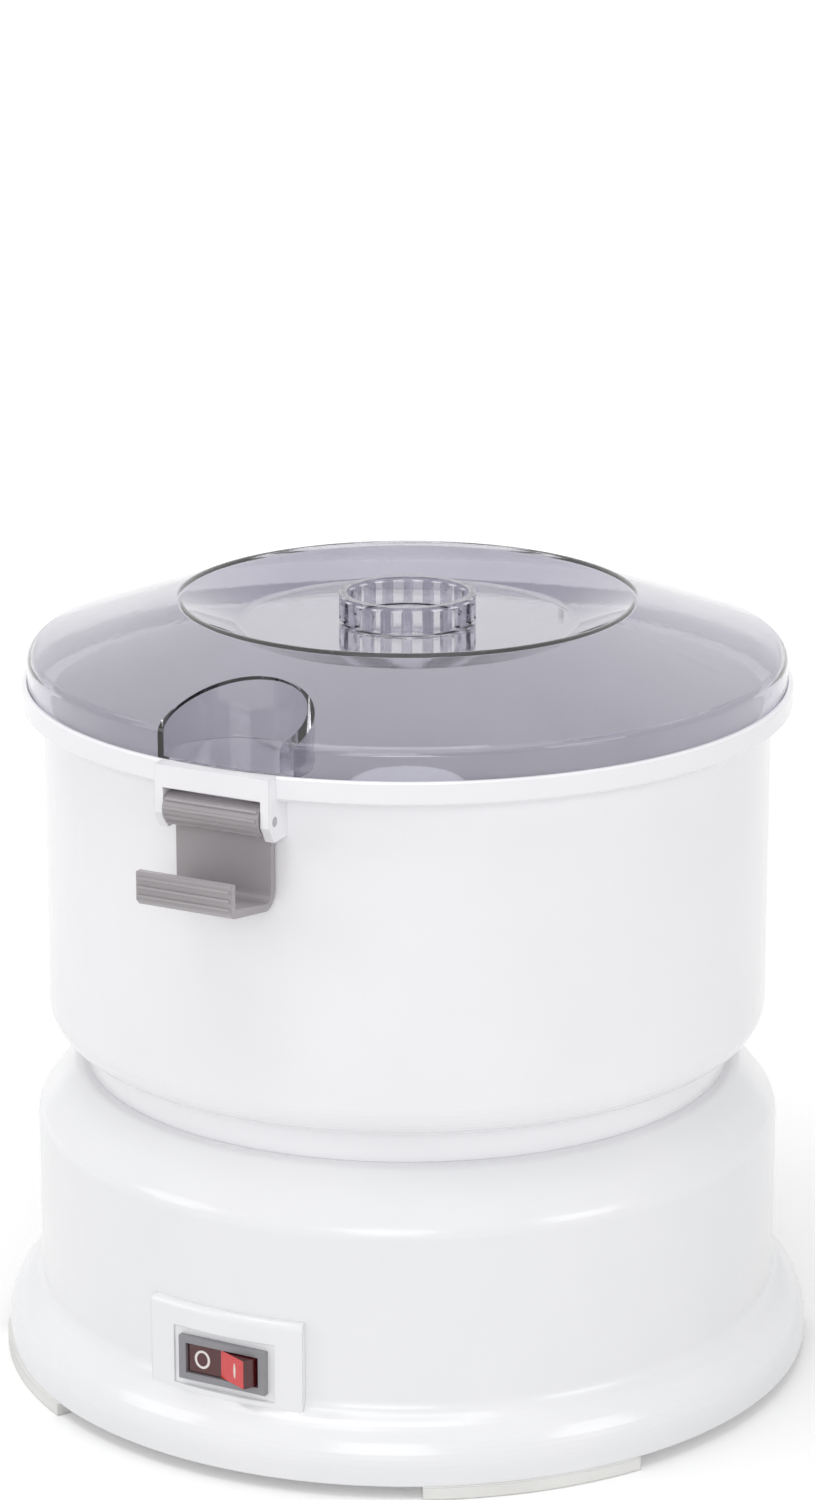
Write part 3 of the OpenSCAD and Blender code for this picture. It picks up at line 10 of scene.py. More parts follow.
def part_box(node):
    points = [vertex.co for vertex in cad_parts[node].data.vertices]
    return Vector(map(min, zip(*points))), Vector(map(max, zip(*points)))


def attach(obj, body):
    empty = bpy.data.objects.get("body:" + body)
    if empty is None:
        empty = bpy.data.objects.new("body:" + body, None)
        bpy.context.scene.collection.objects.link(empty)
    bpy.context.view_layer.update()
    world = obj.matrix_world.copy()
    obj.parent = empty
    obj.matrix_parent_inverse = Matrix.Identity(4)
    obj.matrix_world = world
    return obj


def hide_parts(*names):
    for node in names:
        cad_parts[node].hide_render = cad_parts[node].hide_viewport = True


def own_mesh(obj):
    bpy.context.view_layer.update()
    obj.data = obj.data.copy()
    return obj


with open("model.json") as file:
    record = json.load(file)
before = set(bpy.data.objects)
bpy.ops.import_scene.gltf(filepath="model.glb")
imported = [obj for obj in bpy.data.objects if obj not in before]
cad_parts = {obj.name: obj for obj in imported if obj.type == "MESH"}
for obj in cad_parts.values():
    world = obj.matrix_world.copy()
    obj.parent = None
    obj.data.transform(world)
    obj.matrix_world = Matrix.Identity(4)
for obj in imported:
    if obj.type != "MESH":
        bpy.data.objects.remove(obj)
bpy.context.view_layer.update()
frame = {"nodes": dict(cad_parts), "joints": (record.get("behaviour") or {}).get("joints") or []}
parts = frame["nodes"]
pivots = {joint["name"]: Vector(joint["pos_m"]) for joint in frame["joints"] if "pos_m" in joint}
MM = 0.001

# ---- Camera -------------------------------------------------------------------------------------
# A long lens from the right of the switch side, a little above the lid, so that the bowl's rim,
# the disc's plates and the deck all show as flat ellipses.

camera_turn = math.radians(27.5)
camera_distance = 1.368
camera_height = 0.602
camera_pitch = math.radians(16.25)

camera_data = bpy.data.cameras.new("camera")
camera_data.sensor_width = 36
camera_data.lens = 104.5
camera_data.clip_end = 50
camera = bpy.data.objects.new("camera", camera_data)
camera.location = (
    camera_distance * math.sin(camera_turn), -camera_distance * math.cos(camera_turn), camera_height)
camera.rotation_euler = (math.pi / 2 - camera_pitch, 0, camera_turn)
bpy.context.scene.collection.objects.link(camera)
bpy.context.scene.camera = camera

# ---- Table top, lamps and sky -------------------------------------------------------------------
# A wide pale table under four soft boxes: a large one overhead, a low one in front that reaches under
# the lifted disc, one from the left and a weaker one from the right, in an even white room.

bpy.context.scene.view_settings.view_transform = "Standard"


def add(tree, kind, *values, **named):
    """A new shader node. Inputs are given in order or by name, as a value or as another node's output."""
    node = tree.nodes.new("ShaderNode" + kind)
    pairs = list(zip(node.inputs, values))
    pairs += [(node.inputs[name.replace("_", " ")], value) for name, value in named.items()]
    for socket, value in pairs:
        if isinstance(value, bpy.types.NodeSocket):
            tree.links.new(value, socket)
        elif value is not None:
            socket.default_value = value
    return node


def maths(tree, operation, *values):
    node = add(tree, "Math", *values)
    node.operation = operation
    return node.outputs[0]


def fresh(name):
    """A new material with an empty node tree and its output node."""
    material = bpy.data.materials.new(name)
    material.use_nodes = True
    material.node_tree.nodes.clear()
    return material, material.node_tree, material.node_tree.nodes.new("ShaderNodeOutputMaterial")


def seen_directly(tree):
    """1 for what the camera sees, also by way of gloss or clear plastic."""
    path = add(tree, "LightPath").outputs
    either = maths(tree, "MAXIMUM", path["Is Camera Ray"], path["Is Glossy Ray"])
    return maths(tree, "MAXIMUM", either, path["Is Transmission Ray"])


table_size = 40
table_drop = 0.2 * MM
glow_start, glow_end = 0.25, 1.6
glow_near, glow_far = 0.22, 0.62
table_mesh = bpy.data.meshes.new("table_top")
table_corners = ((-1, -1), (1, -1), (1, 1), (-1, 1))
table_mesh.from_pydata(
    [(x * table_size / 2, y * table_size / 2, -table_drop) for x, y in table_corners], [], [(0, 1, 2, 3)])
table_top = bpy.data.objects.new("table_top", table_mesh)
bpy.context.scene.collection.objects.link(table_top)
table_paint, tree, output = fresh("table_paint")
paint = add(tree, "BsdfDiffuse", Color=(0.8, 0.8, 0.8, 1))
spread = tree.nodes.new("ShaderNodeVectorMath")
spread.operation = "LENGTH"
tree.links.new(add(tree, "NewGeometry").outputs["Position"], spread.inputs[0])
far_off = add(tree, "MapRange", spread.outputs["Value"], glow_start, glow_end, glow_near, glow_far)
shown = maths(tree, "MULTIPLY", seen_directly(tree), far_off.outputs[0])
glow = add(tree, "Emission", Color=(1, 1, 1, 1), Strength=shown)
both = add(tree, "AddShader", paint.outputs[0], glow.outputs[0])
tree.links.new(both.outputs[0], output.inputs["Surface"])
table_mesh.materials.append(table_paint)

room = bpy.data.worlds.new("room")
room.use_nodes = True
tree = room.node_tree
tree.nodes.clear()
output = tree.nodes.new("ShaderNodeOutputWorld")
room_level = 0.6
shown = maths(tree, "MULTIPLY_ADD", seen_directly(tree), 1 - room_level, room_level)
sky = add(tree, "Background", Color=(1, 1, 1, 1), Strength=shown)
tree.links.new(sky.outputs[0], output.inputs["Surface"])
bpy.context.scene.world = room
lamp_aim = 0.18


def soft_box(name, place, size, power):
    lamp = bpy.data.lights.new(name, "AREA")
    lamp.shape = "DISK"
    lamp.size = size
    lamp.energy = power
    holder = bpy.data.objects.new(name, lamp)
    holder.location = place
    aim = Vector((0, 0, lamp_aim)) - Vector(place)
    holder.rotation_euler = aim.to_track_quat("-Z", "Y").to_euler()
    bpy.context.scene.collection.objects.link(holder)


soft_box("overhead_box", (-0.2, -0.3, 2.3), 1.8, 19)
soft_box("left_box", (-1.6, -1.5, 1.0), 1.1, 6)
soft_box("right_box", (1.9, -0.3, 0.9), 0.9, 5)
soft_box("front_box", (0.8, -2.1, 0.85), 1.2, 9)

# ---- Base housing -------------------------------------------------------------------------------
# One injection moulding in glossy white ABS with the switch pad and the inlet boss moulded on. It
# has a faint orange-peel skin, and its edges are softly rounded and a little rubbed.


def linear(r, g, b):
    """An 8-bit screen colour as the linear colour that a shader takes."""
    steps = [v / 255 for v in (r, g, b)]
    return tuple(v / 12.92 if v <= 0.04045 else ((v + 0.055) / 1.055) ** 2.4 for v in steps) + (1,)


def group(name, takes, gives):
    """A shader node group with named inputs, each with its first value, and named outputs."""
    tree = bpy.data.node_groups.new(name, "ShaderNodeTree")
    for label, value in takes.items():
        kind = "NodeSocketColor" if isinstance(value, tuple) else "NodeSocketFloat"
        tree.interface.new_socket(label, in_out="INPUT", socket_type=kind).default_value = value
    for label, kind in gives.items():
        tree.interface.new_socket(label, in_out="OUTPUT", socket_type="NodeSocket" + kind)
    inner = tree.nodes.new("NodeGroupInput").outputs
    outer = tree.nodes.new("NodeGroupOutput").inputs
    return tree, inner, outer


def noise(tree, scale, detail=2.0, stretch=None):
    """Grey noise from 0 to 1 over the object, scale in waves a metre, drawn out where stretch says."""
    place = add(tree, "TexCoord").outputs["Object"]
    if stretch:
        place = add(tree, "Mapping", Vector=place, Scale=stretch).outputs[0]
    return add(tree, "TexNoise", Vector=place, Scale=scale, Detail=detail).outputs["Fac"]


def tint(tree, factor, first, second):
    """First colour where factor is 0, second where it is 1."""
    mix = tree.nodes.new("ShaderNodeMix")
    mix.data_type = "RGBA"
    mix.clamp_factor = True
    sockets = [mix.inputs[0]] + [socket for socket in mix.inputs if socket.type == "RGBA"]
    for socket, value in zip(sockets, (factor, first, second)):
        if isinstance(value, bpy.types.NodeSocket):
            tree.links.new(value, socket)
        else:
            socket.default_value = value
    return next(s for s in mix.outputs if s.type == "RGBA")


def placed(tree, name, **values):
    """Puts a node group into a material with its own values."""
    node = tree.nodes.new("ShaderNodeGroup")
    node.node_tree = bpy.data.node_groups[name]
    for label, value in values.items():
        socket = node.inputs[label.replace("_", " ")]
        if isinstance(value, bpy.types.NodeSocket):
            tree.links.new(value, socket)
        else:
            socket.default_value = value
    return node.outputs


# Skin of a moulding: slow changes of tone, an orange-peel height and finger-dulled gloss
tree, inner, outer = group(
    "moulded_skin",
    {"Colour": (0.8, 0.8, 0.8, 1), "Deep Colour": (0.7, 0.7, 0.7, 1), "Gloss": 0.2, "Smudge": 0.1,
     "Grain": 900.0},
    {"Colour": "Color", "Roughness": "Float", "Height": "Float"})
cloud = maths(tree, "MULTIPLY_ADD", noise(tree, 16, 3), 2.2, -0.6)
tree.links.new(tint(tree, cloud, inner["Deep Colour"], inner["Colour"]), outer["Colour"])
dulled = maths(tree, "SUBTRACT", noise(tree, 42, 4, (1, 1, 0.6)), 0.5)
dulled = maths(tree, "MULTIPLY_ADD", dulled, inner["Smudge"], inner["Gloss"])
tree.links.new(maths(tree, "MAXIMUM", dulled, 0.03), outer["Roughness"])
place = add(tree, "TexCoord").outputs["Object"]
peel = add(tree, "TexNoise", Vector=place, Scale=inner["Grain"], Detail=1.0)
tree.links.new(peel.outputs["Fac"], outer["Height"])

# Edges: the rounded normal of a moulded or broken edge, and where it is rubbed
tree, inner, outer = group(
    "soft_edge", {"Radius": 0.0005, "Rubbing": 0.5}, {"Normal": "Vector", "Rubbed": "Float"})
bevel = add(tree, "Bevel", inner["Radius"])
bevel.samples = 4
turned = tree.nodes.new("ShaderNodeVectorMath")
turned.operation = "DOT_PRODUCT"
tree.links.new(bevel.outputs[0], turned.inputs[0])
tree.links.new(add(tree, "NewGeometry").outputs["Normal"], turned.inputs[1])
rim = maths(tree, "MULTIPLY", maths(tree, "SUBTRACT", 1, turned.outputs["Value"]), 5)
rubbed = maths(tree, "MULTIPLY", maths(tree, "MULTIPLY", rim, noise(tree, 260, 3)), inner["Rubbing"])
tree.links.new(bevel.outputs[0], outer["Normal"])
tree.links.new(maths(tree, "MINIMUM", rubbed, 1), outer["Rubbed"])


def moulded(name, colour, deep, gloss, smudge=0.08, grain=900, peel=0.04, edge=0.5, coat=0.0, rubbed=None):
    """A moulded plastic: its colour, a deeper tone of it, gloss, dulling, grain and edge in mm."""
    material, tree, output = fresh(name)
    skin = placed(tree, "moulded_skin", Colour=colour, Deep_Colour=deep, Gloss=gloss, Smudge=smudge,
                  Grain=grain)
    edges = placed(tree, "soft_edge", Radius=edge * MM, Rubbing=0.45)
    bump = add(tree, "Bump", Strength=peel, Distance=0.0004, Height=skin["Height"], Normal=edges["Normal"])
    base = tint(tree, edges["Rubbed"], skin["Colour"], rubbed or deep)
    shader = add(tree, "BsdfPrincipled", Base_Color=base, Roughness=skin["Roughness"], Coat_Weight=coat,
                 Normal=bump.outputs[0])
    shader.inputs["Coat Roughness"].default_value = 0.06
    shader.inputs["IOR"].default_value = 1.5
    tree.links.new(shader.outputs[0], output.inputs["Surface"])
    return material


def dress(material, *names):
    """Gives CAD nodes their finish."""
    for name in names:
        slots = parts[name].material_slots
        for slot in slots:
            slot.material = material
        if not slots:
            parts[name].data.materials.append(material)


housing_white = moulded("housing_white", linear(238, 238, 240), linear(233, 234, 236), 0.22, coat=0.35,
                        edge=0.6)
dress(housing_white, "base_housing")

# ---- Bottom plate and feet ----------------------------------------------------------------------
# The bottom plate is a plain matt moulding. The four arcs and the
# middle pad are a softer white plastic, glued on and scuffed where they slide on the table.

plate_white = moulded("plate_white", linear(222, 222, 220), linear(210, 210, 208), 0.5, smudge=0.2,
                      peel=0.12)
dress(plate_white, "bottom_plate")
foot_white = moulded("foot_white", linear(238, 238, 236), linear(220, 219, 216), 0.6, smudge=0.25, peel=0.2,
                     grain=1500, edge=0.7)
dress(foot_white, "foot_pads")

# ---- Deck ---------------------------------------------------------------------------------------
# The deck in the housing's neck is a separate moulding in the same white, with its post, dish and
# hairpin ribs. Peelings and water leave it a trace duller than the outside.

deck_white = moulded("deck_white", linear(242, 242, 243), linear(236, 236, 238), 0.26, smudge=0.16,
                     coat=0.25)
dress(deck_white, "top_deck")

# ---- Bowl ---------------------------------------------------------------------------------------
# The bowl is a thin glossy moulding in white polypropylene, a shade cooler than the base, with the
# latch's hood, the tower and the rod's channel moulded on.

bowl_white = moulded("bowl_white", linear(242, 241, 244), linear(238, 237, 240), 0.2, smudge=0.06,
                     coat=0.35)
dress(bowl_white, "bowl")

# ---- Disc frame ---------------------------------------------------------------------------------
# Six spokes, the ring and the tall hub in one glossy white moulding.

disc_white = moulded("disc_white", linear(240, 240, 242), linear(235, 235, 238), 0.2, smudge=0.08, coat=0.3)
dress(disc_white, "disc_frame")

# ---- Latch and small grey parts -----------------------------------------------------------------
# The swing latch is a satin grey moulding with a polished rim where fingers pull it. The coupling,
# the dog and the hub's socket are a duller grey acetal.

latch_grey = moulded("latch_grey", linear(170, 165, 168), linear(152, 148, 151), 0.34, smudge=0.14,
                     peel=0.08, rubbed=linear(168, 164, 166))
dress(latch_grey, "latch")
acetal_grey = moulded("acetal_grey", linear(150, 150, 152), linear(132, 132, 135), 0.45, smudge=0.2,
                      peel=0.1)
dress(acetal_grey, "drive_coupling", "spindle_dog", "hub_socket")

# ---- Switch -------------------------------------------------------------------------------------
# A snap-in rocker switch: a silver-grey bezel, a black nylon body and a glossy red polycarbonate rocker,
# whose pressed-in off half is painted dark as shade, with the two generic marks printed on it.

bezel_silver = moulded("bezel_silver", linear(146, 145, 148), linear(132, 131, 136), 0.3, smudge=0.1,
                       peel=0.05, coat=0.2, rubbed=linear(176, 175, 178))
dress(bezel_silver, "switch_bezel")
moulded_black = moulded("moulded_black", linear(34, 34, 36), linear(24, 24, 26), 0.42, smudge=0.18,
                        peel=0.1, rubbed=linear(60, 60, 62))
dress(moulded_black, "switch_body", "interlock_switch", "cooling_fan")
# Painted shade: the rocker's faces that turn towards its pressed-in off half get a dark red in place of the
# red
shaded_half_turn = -0.2
rocker_red, tree, output = fresh("rocker_red")
side = add(tree, "SeparateXYZ", add(tree, "TexCoord").outputs["Normal"]).outputs["X"]
shaded_half = maths(tree, "GREATER_THAN", side, shaded_half_turn)
skin = placed(tree, "moulded_skin", Colour=linear(222, 26, 32), Deep_Colour=linear(196, 14, 20), Gloss=0.14,
              Smudge=0.06)
base = tint(tree, shaded_half, skin["Colour"], linear(74, 10, 14))
edges = placed(tree, "soft_edge", Radius=0.4 * MM, Rubbing=0.3)
shader = add(tree, "BsdfPrincipled", Base_Color=base, Roughness=skin["Roughness"], Coat_Weight=0.5,
             Normal=edges["Normal"])
tree.links.new(shader.outputs[0], output.inputs["Surface"])
dress(rocker_red, "rocker")

rocker_tilt = math.radians(11.5)
rocker_mid = 3.6 * MM
rocker_end = 6.2 * MM
rocker_reach = 12.7 * MM
mark_proud = 0.06 * MM
mark_sink = 0.2 * MM
mark_white = moulded("mark_white", linear(236, 232, 226), linear(220, 214, 206), 0.4, peel=0.05, edge=0.1)


def face_depth(x):
    """How far the rocker's face lies in front of its pivot, at x along it."""
    return rocker_mid + (rocker_end - rocker_mid) * abs(x) / rocker_reach


def printed_mark(name, outlines):
    """A thin raised mark on the rocker's face between a closed outer line and, if given, an inner one."""
    mesh = bmesh.new()
    rings = []
    for lift in (mark_proud, -mark_sink):
        for line in outlines:
            rings.append([mesh.verts.new((x, -face_depth(x) - lift, z)) for x, z in line])
    count = len(outlines[0])
    tops, backs = rings[:len(outlines)], rings[len(outlines):]
    if len(outlines) == 2:
        for outer_line, inner_line in (tops, backs):
            for i in range(count):
                j = (i + 1) % count
                mesh.faces.new((outer_line[i], outer_line[j], inner_line[j], inner_line[i]))
    else:
        mesh.faces.new(tops[0])
        mesh.faces.new(backs[0])
    for top, back in zip(tops, backs):
        for i in range(count):
            j = (i + 1) % count
            mesh.faces.new((top[i], back[i], back[j], top[j]))
    bmesh.ops.recalc_face_normals(mesh, faces=mesh.faces)
    data = bpy.data.meshes.new(name)
    mesh.to_mesh(data)
    mesh.free()
    data.materials.append(mark_white)
    piece = bpy.data.objects.new(name, data)
    bpy.context.scene.collection.objects.link(piece)
    turn = Matrix.Rotation(-rocker_tilt, 4, "Z")
    piece.matrix_world = Matrix.Translation(pivots["rocker_press"]) @ turn
    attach(piece, "rocker")


def ellipse(x, z, rx, rz, steps=32):
    return [(x + rx * math.cos(2 * math.pi * i / steps), z + rz * math.sin(2 * math.pi * i / steps))
            for i in range(steps)]


off_x, on_x = -6.6 * MM, 6.8 * MM
ring_out = (2.7 * MM, 3.1 * MM)
ring_in = (1.9 * MM, 2.3 * MM)
bar = (0.5 * MM, 2.6 * MM)
printed_mark("off_mark", [ellipse(off_x, 0, *ring_out), ellipse(off_x, 0, *ring_in)])
printed_mark("on_mark", [ellipse(on_x, 0, *bar, steps=12)])

# ---- Interlock ----------------------------------------------------------------------------------
# A black acetal rod runs down the back of the bowl onto a dark grey plunger in the deck, which a
# small steel spring holds up over the switch that stops the motor.

rod_black = moulded("rod_black", linear(30, 30, 32), linear(20, 20, 22), 0.36, smudge=0.15, peel=0.08)
dress(rod_black, "interlock_rod")
plunger_dark = moulded("plunger_dark", linear(66, 66, 68), linear(50, 50, 52), 0.4, smudge=0.15, peel=0.08)
dress(plunger_dark, "interlock_plunger")

# ---- Rubber parts -------------------------------------------------------------------------------
# The cord grommet and the two shaft seals are moulded rubber: dark, dull and dusty in the grain.


def rubber(name, colour, dust):
    material, tree, output = fresh(name)
    skin = placed(tree, "moulded_skin", Colour=colour, Deep_Colour=dust, Gloss=0.72, Smudge=0.25,
                  Grain=2600.0)
    edges = placed(tree, "soft_edge", Radius=0.4 * MM, Rubbing=0.6)
    bump = add(tree, "Bump", Strength=0.35, Distance=0.0003, Height=skin["Height"], Normal=edges["Normal"])
    base = tint(tree, edges["Rubbed"], skin["Colour"], dust)
    shader = add(tree, "BsdfPrincipled", Base_Color=base, Roughness=skin["Roughness"],
                 Normal=bump.outputs[0])
    shader.inputs["Sheen Weight"].default_value = 0.25
    shader.inputs["Sheen Roughness"].default_value = 0.5
    tree.links.new(shader.outputs[0], output.inputs["Surface"])
    return material


grommet_rubber = rubber("grommet_rubber", linear(44, 43, 42), linear(70, 68, 66))
dress(grommet_rubber, "cord_grommet", "shaft_seal", "tower_seal")

# ---- Turned and drawn steel ---------------------------------------------------------------------
# Shafts, pins, screws and springs are bright steel with fine turning marks round their axis. The
# gear plate and the motor's bracket are zinc-plated sheet with a cloudy, slightly blue spangle.

# Drawn or ground metal: fine lines along one direction, in tone, roughness and height
tree, inner, outer = group(
    "machined_lines",
    {"Colour": (0.6, 0.6, 0.6, 1), "Deep Colour": (0.4, 0.4, 0.4, 1), "Gloss": 0.3, "Spread": 0.2,
     "Fineness": 1.0},
    {"Colour": "Color", "Roughness": "Float", "Height": "Float"})
place = add(tree, "TexCoord").outputs["Object"]
drawn = add(tree, "Mapping", Vector=place, Scale=(160, 160, 5200))
lines = add(tree, "TexNoise", Vector=drawn.outputs[0], Scale=inner["Fineness"], Detail=3.0).outputs["Fac"]
clouds = noise(tree, 90, 4)
shade = maths(tree, "ADD", maths(tree, "MULTIPLY", lines, 0.6), maths(tree, "MULTIPLY", clouds, 0.4))
tone = maths(tree, "MULTIPLY_ADD", shade, 2.4, -0.7)
tree.links.new(tint(tree, tone, inner["Deep Colour"], inner["Colour"]), outer["Colour"])
dulled = maths(tree, "MULTIPLY_ADD", maths(tree, "SUBTRACT", shade, 0.5), inner["Spread"], inner["Gloss"])
tree.links.new(maths(tree, "MAXIMUM", dulled, 0.05), outer["Roughness"])
tree.links.new(lines, outer["Height"])


def metal(name, colour, deep, gloss, spread=0.25, lines=1.0, relief=0.12, edge=0.25):
    material, tree, output = fresh(name)
    skin = placed(tree, "machined_lines", Colour=colour, Deep_Colour=deep, Gloss=gloss, Spread=spread,
                  Fineness=lines)
    edges = placed(tree, "soft_edge", Radius=edge * MM, Rubbing=0.6)
    bump = add(tree, "Bump", Strength=relief, Distance=0.0002, Height=skin["Height"],
               Normal=edges["Normal"])
    base = tint(tree, edges["Rubbed"], skin["Colour"], colour)
    shader = add(tree, "BsdfPrincipled", Base_Color=base, Metallic=1.0, Roughness=skin["Roughness"],
                 Normal=bump.outputs[0])
    tree.links.new(shader.outputs[0], output.inputs["Surface"])
    return material


bright_steel = metal("bright_steel", linear(206, 207, 209), linear(172, 173, 176), 0.24)
dress(bright_steel, "cover_screws", "gear_plate_screws", "motor_bolts", "idler_pin", "motor_shaft",
      "output_shaft", "output_circlip", "latch_pin", "bowl_spindle")

# The plunger's spring: six turns of drawn wire
spring_low, spring_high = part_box("plunger_spring")
spring_mid = (spring_low + spring_high) / 2
wire_r = 0.4 * MM
coil_r = (spring_high.x - spring_low.x) / 2 - wire_r
coil_turns = 6
turn_steps = 24
coil_steps = coil_turns * turn_steps
wire_sides = 10
spring_height = spring_high.z - spring_low.z

mesh = bmesh.new()
rings = []
for step in range(coil_steps + 1):
    angle = 2 * math.pi * step / turn_steps
    rise = (spring_height - 2 * wire_r) * step / coil_steps
    ring = []
    for side in range(wire_sides):
        around = 2 * math.pi * side / wire_sides
        r = coil_r + wire_r * math.cos(around)
        ring.append(mesh.verts.new((
            spring_mid.x + r * math.cos(angle), spring_mid.y + r * math.sin(angle),
            spring_low.z + wire_r + rise + wire_r * math.sin(around))))
    rings.append(ring)
for lower, upper in zip(rings, rings[1:]):
    for side in range(wire_sides):
        after = (side + 1) % wire_sides
        mesh.faces.new((lower[side], lower[after], upper[after], upper[side])).smooth = True
mesh.faces.new(rings[0][::-1])
mesh.faces.new(rings[-1])
bmesh.ops.recalc_face_normals(mesh, faces=mesh.faces)
coil_mesh = bpy.data.meshes.new("coil_spring")
mesh.to_mesh(coil_mesh)
mesh.free()
coil_mesh.materials.append(bright_steel)
coil_spring = bpy.data.objects.new("coil_spring", coil_mesh)
bpy.context.scene.collection.objects.link(coil_spring)
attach(coil_spring, "base")
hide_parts("plunger_spring")
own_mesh(coil_spring)

zinc_sheet = metal("zinc_sheet", linear(186, 190, 196), linear(150, 155, 163), 0.4, spread=0.35, lines=0.15)
dress(zinc_sheet, "gear_plate", "motor_bracket", "motor_spacers")

# ---- Bushes, brass and copper -------------------------------------------------------------------
# Sintered bronze bushes hold oil and look brown and porous. The pinion, the brush holders and the
# switch's tabs are brass, and the windings are copper wire under a clear brown enamel.

bronze = metal("bronze", linear(176, 132, 84), linear(120, 84, 50), 0.5, spread=0.3, lines=0.4, relief=0.3)
dress(bronze, "motor_bush_lower", "motor_bush_upper", "output_bush_lower", "output_bush_upper",
      "tower_bush")
brass = metal("brass", linear(212, 182, 108), linear(176, 142, 74), 0.28)
dress(brass, "motor_pinion", "brush_holders", "switch_terminals")

wire_pitch = 0.45 * MM


def enamelled(name, axis):
    """Wound wire: rounded turns a wire apart along the given axis, each a little its own tone, painted dark
    as shade in the grooves between them.
    """
    material, tree, output = fresh(name)
    place = add(tree, "SeparateXYZ", add(tree, "TexCoord").outputs["Object"]).outputs[axis]
    phase = maths(tree, "MULTIPLY", place, 1 / wire_pitch)
    turn = maths(tree, "PINGPONG", phase, 0.5)
    crown = maths(tree, "SQRT", maths(tree, "MULTIPLY", turn, 2))
    own = add(tree, "TexWhiteNoise")
    own.noise_dimensions = "1D"
    tree.links.new(maths(tree, "FLOOR", phase), own.inputs["W"])
    lit = tint(tree, own.outputs["Value"], linear(168, 88, 40), linear(196, 112, 56))
    # Painted shade: each turn darkens to a deep brown towards the grooves beside it
    base = tint(tree, crown, linear(84, 38, 18), lit)
    bump = add(tree, "Bump", Strength=0.8, Distance=0.0003, Height=crown)
    shader = add(tree, "BsdfPrincipled", Base_Color=base, Metallic=0.6, Roughness=0.3, Coat_Weight=0.6,
                 Normal=bump.outputs[0])
    shader.inputs["Coat Roughness"].default_value = 0.1
    tree.links.new(shader.outputs[0], output.inputs["Surface"])
    return material


dress(enamelled("coil_wire", "Y"), "field_coils")
dress(enamelled("armature_wire", "Z"), "armature_windings")

# ---- Motor iron, commutator and brushes ---------------------------------------------------------
# The stator and the armature are stacks of varnished iron sheets, whose edges show as fine lines.
# The commutator is bare copper, streaked by the two blocks of pressed carbon.

sheet_pitch = 0.5 * MM
stacked_iron, tree, output = fresh("stacked_iron")
height = add(tree, "SeparateXYZ", add(tree, "TexCoord").outputs["Object"]).outputs["Z"]
seam = maths(tree, "PINGPONG", maths(tree, "MULTIPLY", height, 1 / sheet_pitch), 0.5)
face = maths(tree, "SMOOTH_MIN", maths(tree, "MULTIPLY", seam, 5), 1, 0.2)
iron_tone = tint(tree, noise(tree, 300, 4), linear(78, 80, 86), linear(112, 113, 118))
base = tint(tree, face, linear(34, 33, 34), iron_tone)
bump = add(tree, "Bump", Strength=0.6, Distance=0.0002, Height=face)
shader = add(tree, "BsdfPrincipled", Base_Color=base, Metallic=0.7, Roughness=0.45, Coat_Weight=0.3,
             Normal=bump.outputs[0])
tree.links.new(shader.outputs[0], output.inputs["Surface"])
dress(stacked_iron, "motor_stator", "armature_core")
bare_copper = metal("bare_copper", linear(206, 126, 84), linear(140, 76, 46), 0.26, spread=0.4, lines=0.6)
dress(bare_copper, "commutator")
carbon = moulded("carbon", linear(40, 40, 42), linear(26, 26, 27), 0.55, smudge=0.3, grain=3000,
                 peel=0.3, edge=0.2)
dress(carbon, "carbon_brushes")

# ---- Gears and electrics ------------------------------------------------------------------------
# The two gears are natural nylon, slightly yellow, with a film of grease. The terminal block is the
# same plastic, the capacitor has a yellow case, and the leads have PVC insulation.

natural_nylon = moulded("natural_nylon", linear(232, 226, 206), linear(212, 200, 170), 0.34, smudge=0.3,
                        coat=0.2)
dress(natural_nylon, "idler_gear", "output_gear", "terminal_block")
capacitor_yellow = moulded("capacitor_yellow", linear(216, 168, 44), linear(196, 142, 28), 0.3, coat=0.2)
dress(capacitor_yellow, "suppression_capacitor")
lead_blue = moulded("lead_blue", linear(48, 76, 138), linear(36, 58, 110), 0.42, smudge=0.15, edge=0.1)
dress(lead_blue, "inner_leads")

# ---- Grater plates ------------------------------------------------------------------------------
# Six plates of stainless sheet lie in the frame's windows, folded up to a ridge in the middle. Each
# is punched from below in slanting rows, which leaves a sharp burr leaning over every hole, and it
# is slotted along the fold. A plain margin is left at both ends.

plates = 6
spoke_w = 7 * MM
plate_gap = 0.4 * MM
plate_in_r = 44 * MM + plate_gap
plate_out_r = 95 * MM - plate_gap
plate_tilt = math.radians(2.5)
disc_turn = math.radians(-4.5)
sheet_t = 0.6 * MM
plate_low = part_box("grater_plates")[0].z + 0.2 * MM
half_window = math.pi / plates
corner_x = (spoke_w / 2 + plate_gap) / math.sin(half_window)
hole_pitch = 2.5 * MM
hole_row = hole_pitch * math.sqrt(3) / 2
hole_r = 0.68 * MM
burr_r = 1.02 * MM
burr_h = 0.55 * MM
hole_sides = 8
burr_low = 0.18
burr_sharp = 1.5
burr_lean = 0.25
field_mid = 70 * MM
field_reach = 60 * MM
outer_steps = 40
inner_steps = 20
weld = 1e-7
margin_side = 1.5 * MM
margin_in = 4.5 * MM
margin_out = 3.2 * MM
slot_l = 2.3 * MM
slot_w = 0.5 * MM
slot_pitch = 4.8 * MM
row_slant = math.radians(19)


def edge_distance(x, y):
    """Distance of a point from the spoke that its wing starts at."""
    return (x - corner_x) * math.sin(half_window) - abs(y) * math.cos(half_window)


def wing_height(x, y):
    """Height of the folded sheet's top face."""
    return plate_low + sheet_t + math.tan(plate_tilt) * edge_distance(x, y)


